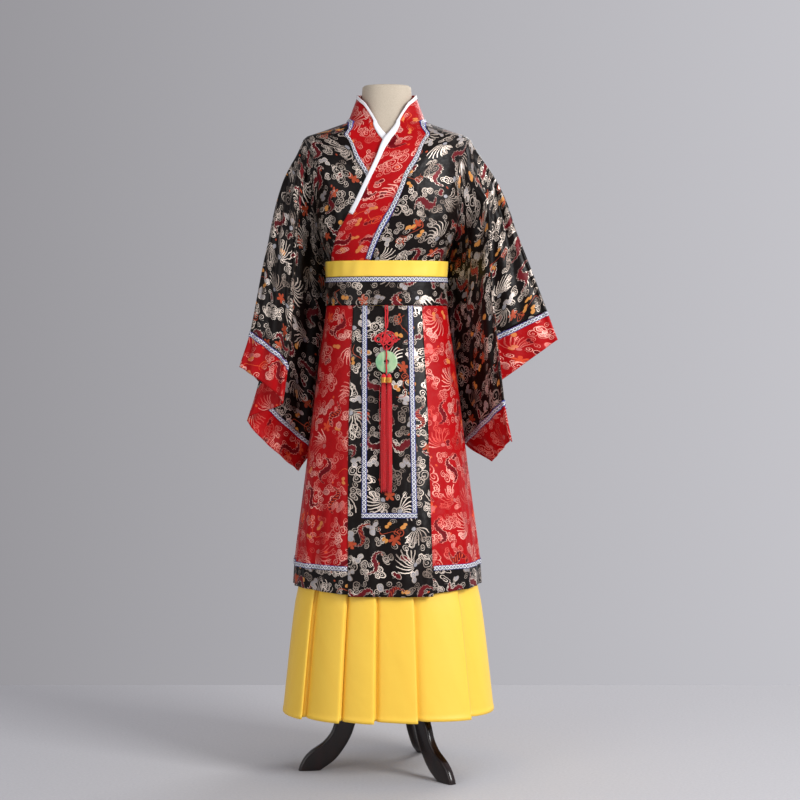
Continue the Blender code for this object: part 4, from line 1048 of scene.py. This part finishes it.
def turned(name, profile, sides, finish, centre, node, slot):
    """A turned part: a profile of radius and height carried round the upright axis."""
    radius, height = np.array(profile).T
    round_ = np.linspace(0, 2 * math.pi, sides, endpoint=False)
    grid = np.stack([radius[:, None] * np.cos(round_) + centre[0], radius[:, None] * np.sin(round_) + centre[1],
                     height[:, None] + 0 * round_], -1)
    obj = surface(name, grid, finish, True, inside=np.array([*centre, height.mean()]))
    obj.data.set_sharp_from_angle(angle=math.radians(50))
    if node:
        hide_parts(node)
    return obj


turned("stem_rod", ((0.0001, 0.2224), (0.0125, 0.2224), (0.0125, 0.235), (0.0118, 0.240), (0.0118, 0.852),
                    (0.0125, 0.8596), (0.0001, 0.8596)), 40, dark_wood, (STAND_X, 0), "form_stem", "dark wood")
turned("hub_turning", ((0.0001, 0.150), (0.022, 0.150), (0.028, 0.153), (0.031, 0.160), (0.032, 0.170),
                       (0.032, 0.205), (0.031, 0.211), (0.0275, 0.214), (0.0265, 0.216), (0.0275, 0.219),
                       (0.0265, 0.222), (0.0001, 0.222)), 64, dark_wood, (STAND_X, 0), "form_hub", "dark wood")
LEG_UPPER = ((0.0324, 0.215), (0.0704, 0.195), (0.1054, 0.155), (0.1274, 0.112), (0.1379, 0.084),
             (0.1544, 0.063), (0.1844, 0.042), (0.1994, 0.026), (0.2084, 0.008), (0.2104, 0.000))
LEG_LOWER = ((0.0324, 0.160), (0.0594, 0.145), (0.0809, 0.110), (0.0944, 0.074), (0.1114, 0.045),
             (0.1304, 0.022), (0.1614, 0.000))
count = 90
upper = smooth(range(len(LEG_UPPER)), LEG_UPPER, np.linspace(0, len(LEG_UPPER) - 1, count))
lower = smooth(range(len(LEG_LOWER)), LEG_LOWER, np.linspace(0, len(LEG_LOWER) - 1, count))
round_ = np.linspace(0, 2 * math.pi, 32, endpoint=False)
c, s = (np.sign(f) * np.abs(f) ** 0.45 for f in (np.cos(round_), np.sin(round_)))
middle, half = (upper + lower) / 2, (upper - lower) / 2
ends = np.concatenate([[0.02, 0.75, 0.93], np.ones(count), [0.02]])[:, None]
middle, half = (np.concatenate([v[:1], v[:1], v[:1], v, v[-1:]]) for v in (middle, half))
flat_leg = middle[:, None] + half[:, None] * (s[:, None] * ends[:, None])
wide = 0.010 * c * ends
for number, degrees in enumerate((188, -52, 68), 1):
    a = math.radians(degrees)
    x = flat_leg[..., 0] * math.cos(a) - wide * math.sin(a) + STAND_X
    y = flat_leg[..., 0] * math.sin(a) + wide * math.cos(a)
    grid = np.stack([x, y, np.maximum(flat_leg[..., 1], 0.0)], -1)
    obj = surface(f"leg_{number}", grid, dark_wood, True)
    closed_up(obj, merge=False)
    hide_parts(f"form_leg_{number}")


# %% [markdown]
# ## The pendant
# A twisted red cord hangs from the waistband. It is tied in a flat knot with loops all round, carries a jade
# ring, and ends in a tassel. Every cord is a tube: a circle carried along a path, with one axis kept towards the
# front.

# %% Tubes
def pendant_y(height, before):
    """The y of a point the given distance in front of the apron's outer face, on the centre line."""
    flute = 0.0028 * np.sin(9 * FRONT + 0.6) * ease((1.0 - APRON_ROWS) / 0.55)
    face = body(OVERSKIRT, np.full(len(APRON_ROWS), FRONT), APRON_ROWS, flute + 2 * CLOTH + 2 * LAY)[:, 1]
    return np.interp(height, APRON_ROWS, face) - before


def tube(path, radius, sides, closed=False):
    """A grid round the path: point = path + radius * (cos a * side + sin a * up), up being square to both the
    path and the side."""
    ahead = (np.roll(path, -1, 0) - np.roll(path, 1, 0)) if closed else np.gradient(path, axis=0)
    ahead /= np.linalg.norm(ahead, axis=1)[:, None]
    up = np.array([0, 1.0, 0]) - ahead * ahead[:, 1:2]
    up /= np.linalg.norm(up, axis=1)[:, None] + 1e-9
    side = np.cross(ahead, up)
    a = np.linspace(0, 2 * math.pi, sides, endpoint=False)
    radius = np.broadcast_to(np.asarray(radius, float), (len(path),))[:, None, None]
    return path[:, None] + radius * (np.cos(a)[:, None] * side[:, None] + np.sin(a)[:, None] * up[:, None])


def tube_mesh(paths, radius, sides, closed=False):
    """Points, faces and cord coordinates of several tubes with rounded ends, as one list."""
    points, faces, spots, offset = [], [], [], 0
    for path in paths:
        if closed:
            grid = tube(path, radius, sides, True)
            grid = np.concatenate([grid, grid[:1]])
        else:
            size = np.ones(len(path)) * radius
            size[[0, -1]] *= 0.05
            grid = tube(path, size, sides)
        rows = len(grid)
        number = offset + np.arange(rows * sides).reshape(rows, sides)
        around = np.concatenate([number, number[:, :1]], 1)
        run = np.concatenate([[0], np.cumsum(np.linalg.norm(np.diff(grid.mean(1), axis=0), axis=1))])
        ring = np.arange(sides + 1) / sides * 2 * math.pi * radius
        place = np.stack(np.broadcast_arrays(ring[None], run[:, None]), -1)
        corners = [(slice(None, -1), slice(None, -1)), (slice(1, None), slice(None, -1)),
                   (slice(1, None), slice(1, None)), (slice(None, -1), slice(1, None))]
        faces.append(np.stack([around[k] for k in corners], -1).reshape(-1, 4))
        spots.append(np.stack([place[k] for k in corners], 2).reshape(-1, 4, 2))
        points.append(grid.reshape(-1, 3))
        offset += rows * sides
    return np.concatenate(points), np.concatenate(faces), np.concatenate(spots)


def cords(name, paths, radius, sides, finish, nodes, closed=False):
    points, faces, spots = tube_mesh(paths, radius, sides, closed)
    obj = make_piece(name, points, faces, spots, finish)
    closed_up(obj)
    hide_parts(*nodes)
    return obj


# %% Hanging cord, knot and loop
heights = np.linspace(0.9724, WAISTBAND_FOOT + 0.001, 40)
for side, sign in (("left", 1), ("right", -1)):
    y = pendant_y(heights, 0.0018) - 0.0035 * ease((heights - 1.008) / 0.013)
    x = sign * (0.0022 + 0.0005 * np.sin(heights * 300 + sign))
    cords(f"hanging_cord_{side}", [np.stack([x, y, heights], -1)], 0.0016, 12, red_cord,
          [f"pendant_cord_{side}"])

t = np.linspace(0, 2 * math.pi, 460, endpoint=False)
knot_mid, knot_half = 0.9485, 0.0232
u, v = np.sin(3 * t + 0.4), np.sin(4 * t)
x = (u + v) * 0.5 * 0.0262 / 0.93
z = (v - u) * 0.5 * knot_half / 0.93
over = np.cos(12.0 * t * 7 / 12 + 0.9) * 0.0012
path = np.stack([x, pendant_y(knot_mid + z, 0.0032) + over, knot_mid + z], -1)
a = np.linspace(0, 2 * math.pi, 80, endpoint=False)
core = np.stack([0.0075 * np.cos(a), pendant_y(knot_mid + 0.0075 * np.sin(a), 0.0030), knot_mid + 0.0075 * np.sin(a)],
                -1)
loop = [np.stack([0.0060 * sign + 0.0052 * np.cos(a) * 1.1, pendant_y(knot_mid + lift + 0.006 * np.sin(a), 0.0040),
                  knot_mid + lift + 0.0062 * np.sin(a)], -1)
        for sign, lift in ((1, 0.006), (-1, 0.006), (1, -0.006), (-1, -0.006), (0, 0.0), (2.9, 0.0), (-2.9, 0.0))]
cords("knot_cord", [path, core, *loop], 0.00145, 10, red_cord, ["pendant_knot"], closed=True)

# %% [markdown]
# The jade ring is a flat disc with a hole: its section is a rounded bar carried round a circle. The link cord
# passes in front of it, down to the tassel's head.

# %% Ring and link
RING_HEIGHT, RING_RADIUS, RING_HOLE, RING_THICKNESS = 0.900, 0.0235, 0.0052, 0.005
a = np.linspace(0, 2 * math.pi, 128, endpoint=False)
b = np.linspace(0, 2 * math.pi, 36, endpoint=False)
mid, half = (RING_RADIUS + RING_HOLE) / 2, (RING_RADIUS - RING_HOLE) / 2
radius = mid + half * np.sign(np.cos(b)) * np.abs(np.cos(b)) ** 0.35
deep = RING_THICKNESS / 2 * np.sign(np.sin(b)) * np.abs(np.sin(b)) ** 0.55
ring = np.stack([radius[None] * np.cos(a)[:, None], deep[None] + 0 * a[:, None], radius[None] * np.sin(a)[:, None]], -1)
lean = (pendant_y(0.92, 0) - pendant_y(0.88, 0)) / 0.04
ring[..., 1] += lean * ring[..., 2]
ring += (0, pendant_y(RING_HEIGHT, 0.006 - RING_THICKNESS / 2), RING_HEIGHT)
ring = np.concatenate([ring, ring[:1]])
uv = lengths(ring, True)
disc = surface("jade_disc", ring, jade, True, uv=uv)
closed_up(disc, fill=False)
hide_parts("pendant_ring")
heights = np.linspace(0.8734, 0.935, 40)
cords("link_cord", [np.stack([0.0004 * np.sin(heights * 400), pendant_y(heights, 0.0080), heights], -1)], 0.0016, 12,
      red_cord, ["pendant_link"])

# %% [markdown]
# The tassel has two bundles side by side, each with a bound head, two gold bands and a skirt of silk strands. Each
# strand is a thin tube that starts on the head, bulges a little and hangs straight, and the strands differ in
# length and sway.

# %% Tassel
HEAD_FOOT, HEAD_AHEAD, BUNDLE = 0.855, 0.0085, 0.0058
rng = np.random.default_rng(5)
count = 240
ring_share = np.sqrt((np.arange(count) // 2 + 0.5) * 2 / count)
turn = np.arange(count) * 2.39996
s = np.linspace(0, 1, 22)
paths = []
for k in range(count):
    reach = 0.237 * rng.uniform(0.95, 1.0)
    bundle = BUNDLE * (1 if k % 2 else -1)
    sway = rng.uniform(-0.0009, 0.0009, 2)
    radius = 0.0056 * ring_share[k] * (0.82 + 0.34 * np.sin(np.minimum(s * 3.2, math.pi / 2))
                                       + 0.10 * np.sin(9 * s + k) * s)
    z = HEAD_FOOT + 0.002 - reach * s
    x = bundle + radius * math.cos(turn[k]) + sway[0] * s
    y = pendant_y(z, HEAD_AHEAD) + radius * math.sin(turn[k]) * 0.82 + sway[1] * s
    paths.append(np.stack([x, y, z], -1))
stray = np.stack([-0.0140 - 0.0008 * np.sin(7 * s), pendant_y(0.852 - 0.215 * s, HEAD_AHEAD), 0.852 - 0.215 * s], -1)
paths.append(stray)
head = np.array([(0.0001, 0.0), (0.0050, 0.0), (0.0054, 0.0012), (0.0054, 0.0120), (0.0050, 0.0150), (0.0040, 0.0175),
                 (0.0026, 0.0192), (0.0001, 0.0200)])
a = np.linspace(0, 2 * math.pi, 48, endpoint=False)
head_y = float(pendant_y(HEAD_FOOT, HEAD_AHEAD))
ribbed = 1 + 0.03 * np.cos(24 * a)
points, faces, spots = tube_mesh(paths, 0.00045, 4)
strands = make_piece("tassel_strands", points, faces, spots, red_floss)
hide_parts("tassel")
for side, x in (("left", BUNDLE), ("right", -BUNDLE)):
    grid = np.stack([x + head[:, :1] * ribbed * np.cos(a), head_y + head[:, :1] * ribbed * np.sin(a),
                     HEAD_FOOT - 0.0005 + head[:, 1:] + 0 * a], -1)
    surface(f"tassel_head_{side}", grid, red_floss, True, inside=np.array([x, head_y, HEAD_FOOT + 0.01]))
    for number, lift in ((1, 0.0010), (2, 0.0068)):
        wound = [(0.0060 + 0.0005 * abs(math.sin(math.pi * k / 4)) ** 0.5, HEAD_FOOT + lift + 0.005 * k / 20)
                 for k in range(21)]
        profile = [(0.0055, wound[0][1]), *wound, (0.0055, wound[-1][1]), (0.0055, wound[0][1])]
        turned(f"gold_binding_{number}_{side}", profile, 56, gold_thread, (x, head_y),
               f"tassel_band_{number}" if x > 0 else (), "gold thread")

# %% [markdown]
# ## Floor
# A plain pale floor that ends where the studio's wall would stand.

# %% Floor
floor = Finish("floor", 0.9)
speck = floor.noise(floor.add("TexCoord", out=3), 160.0, 4.0)
floor.set("Base Color", floor.mix(speck, (0.43, 0.428, 0.448), (0.55, 0.547, 0.567)))
mesh = bpy.data.meshes.new("floor")
mesh.from_pydata([(-6, -5, -0.0004), (6, -5, -0.0004), (6, 1.0, -0.0004), (-6, 1.0, -0.0004)], [], [(0, 1, 2, 3)])
mesh.materials.append(floor.material)
ground = bpy.data.objects.new("floor", mesh)
bpy.context.scene.collection.objects.link(ground)
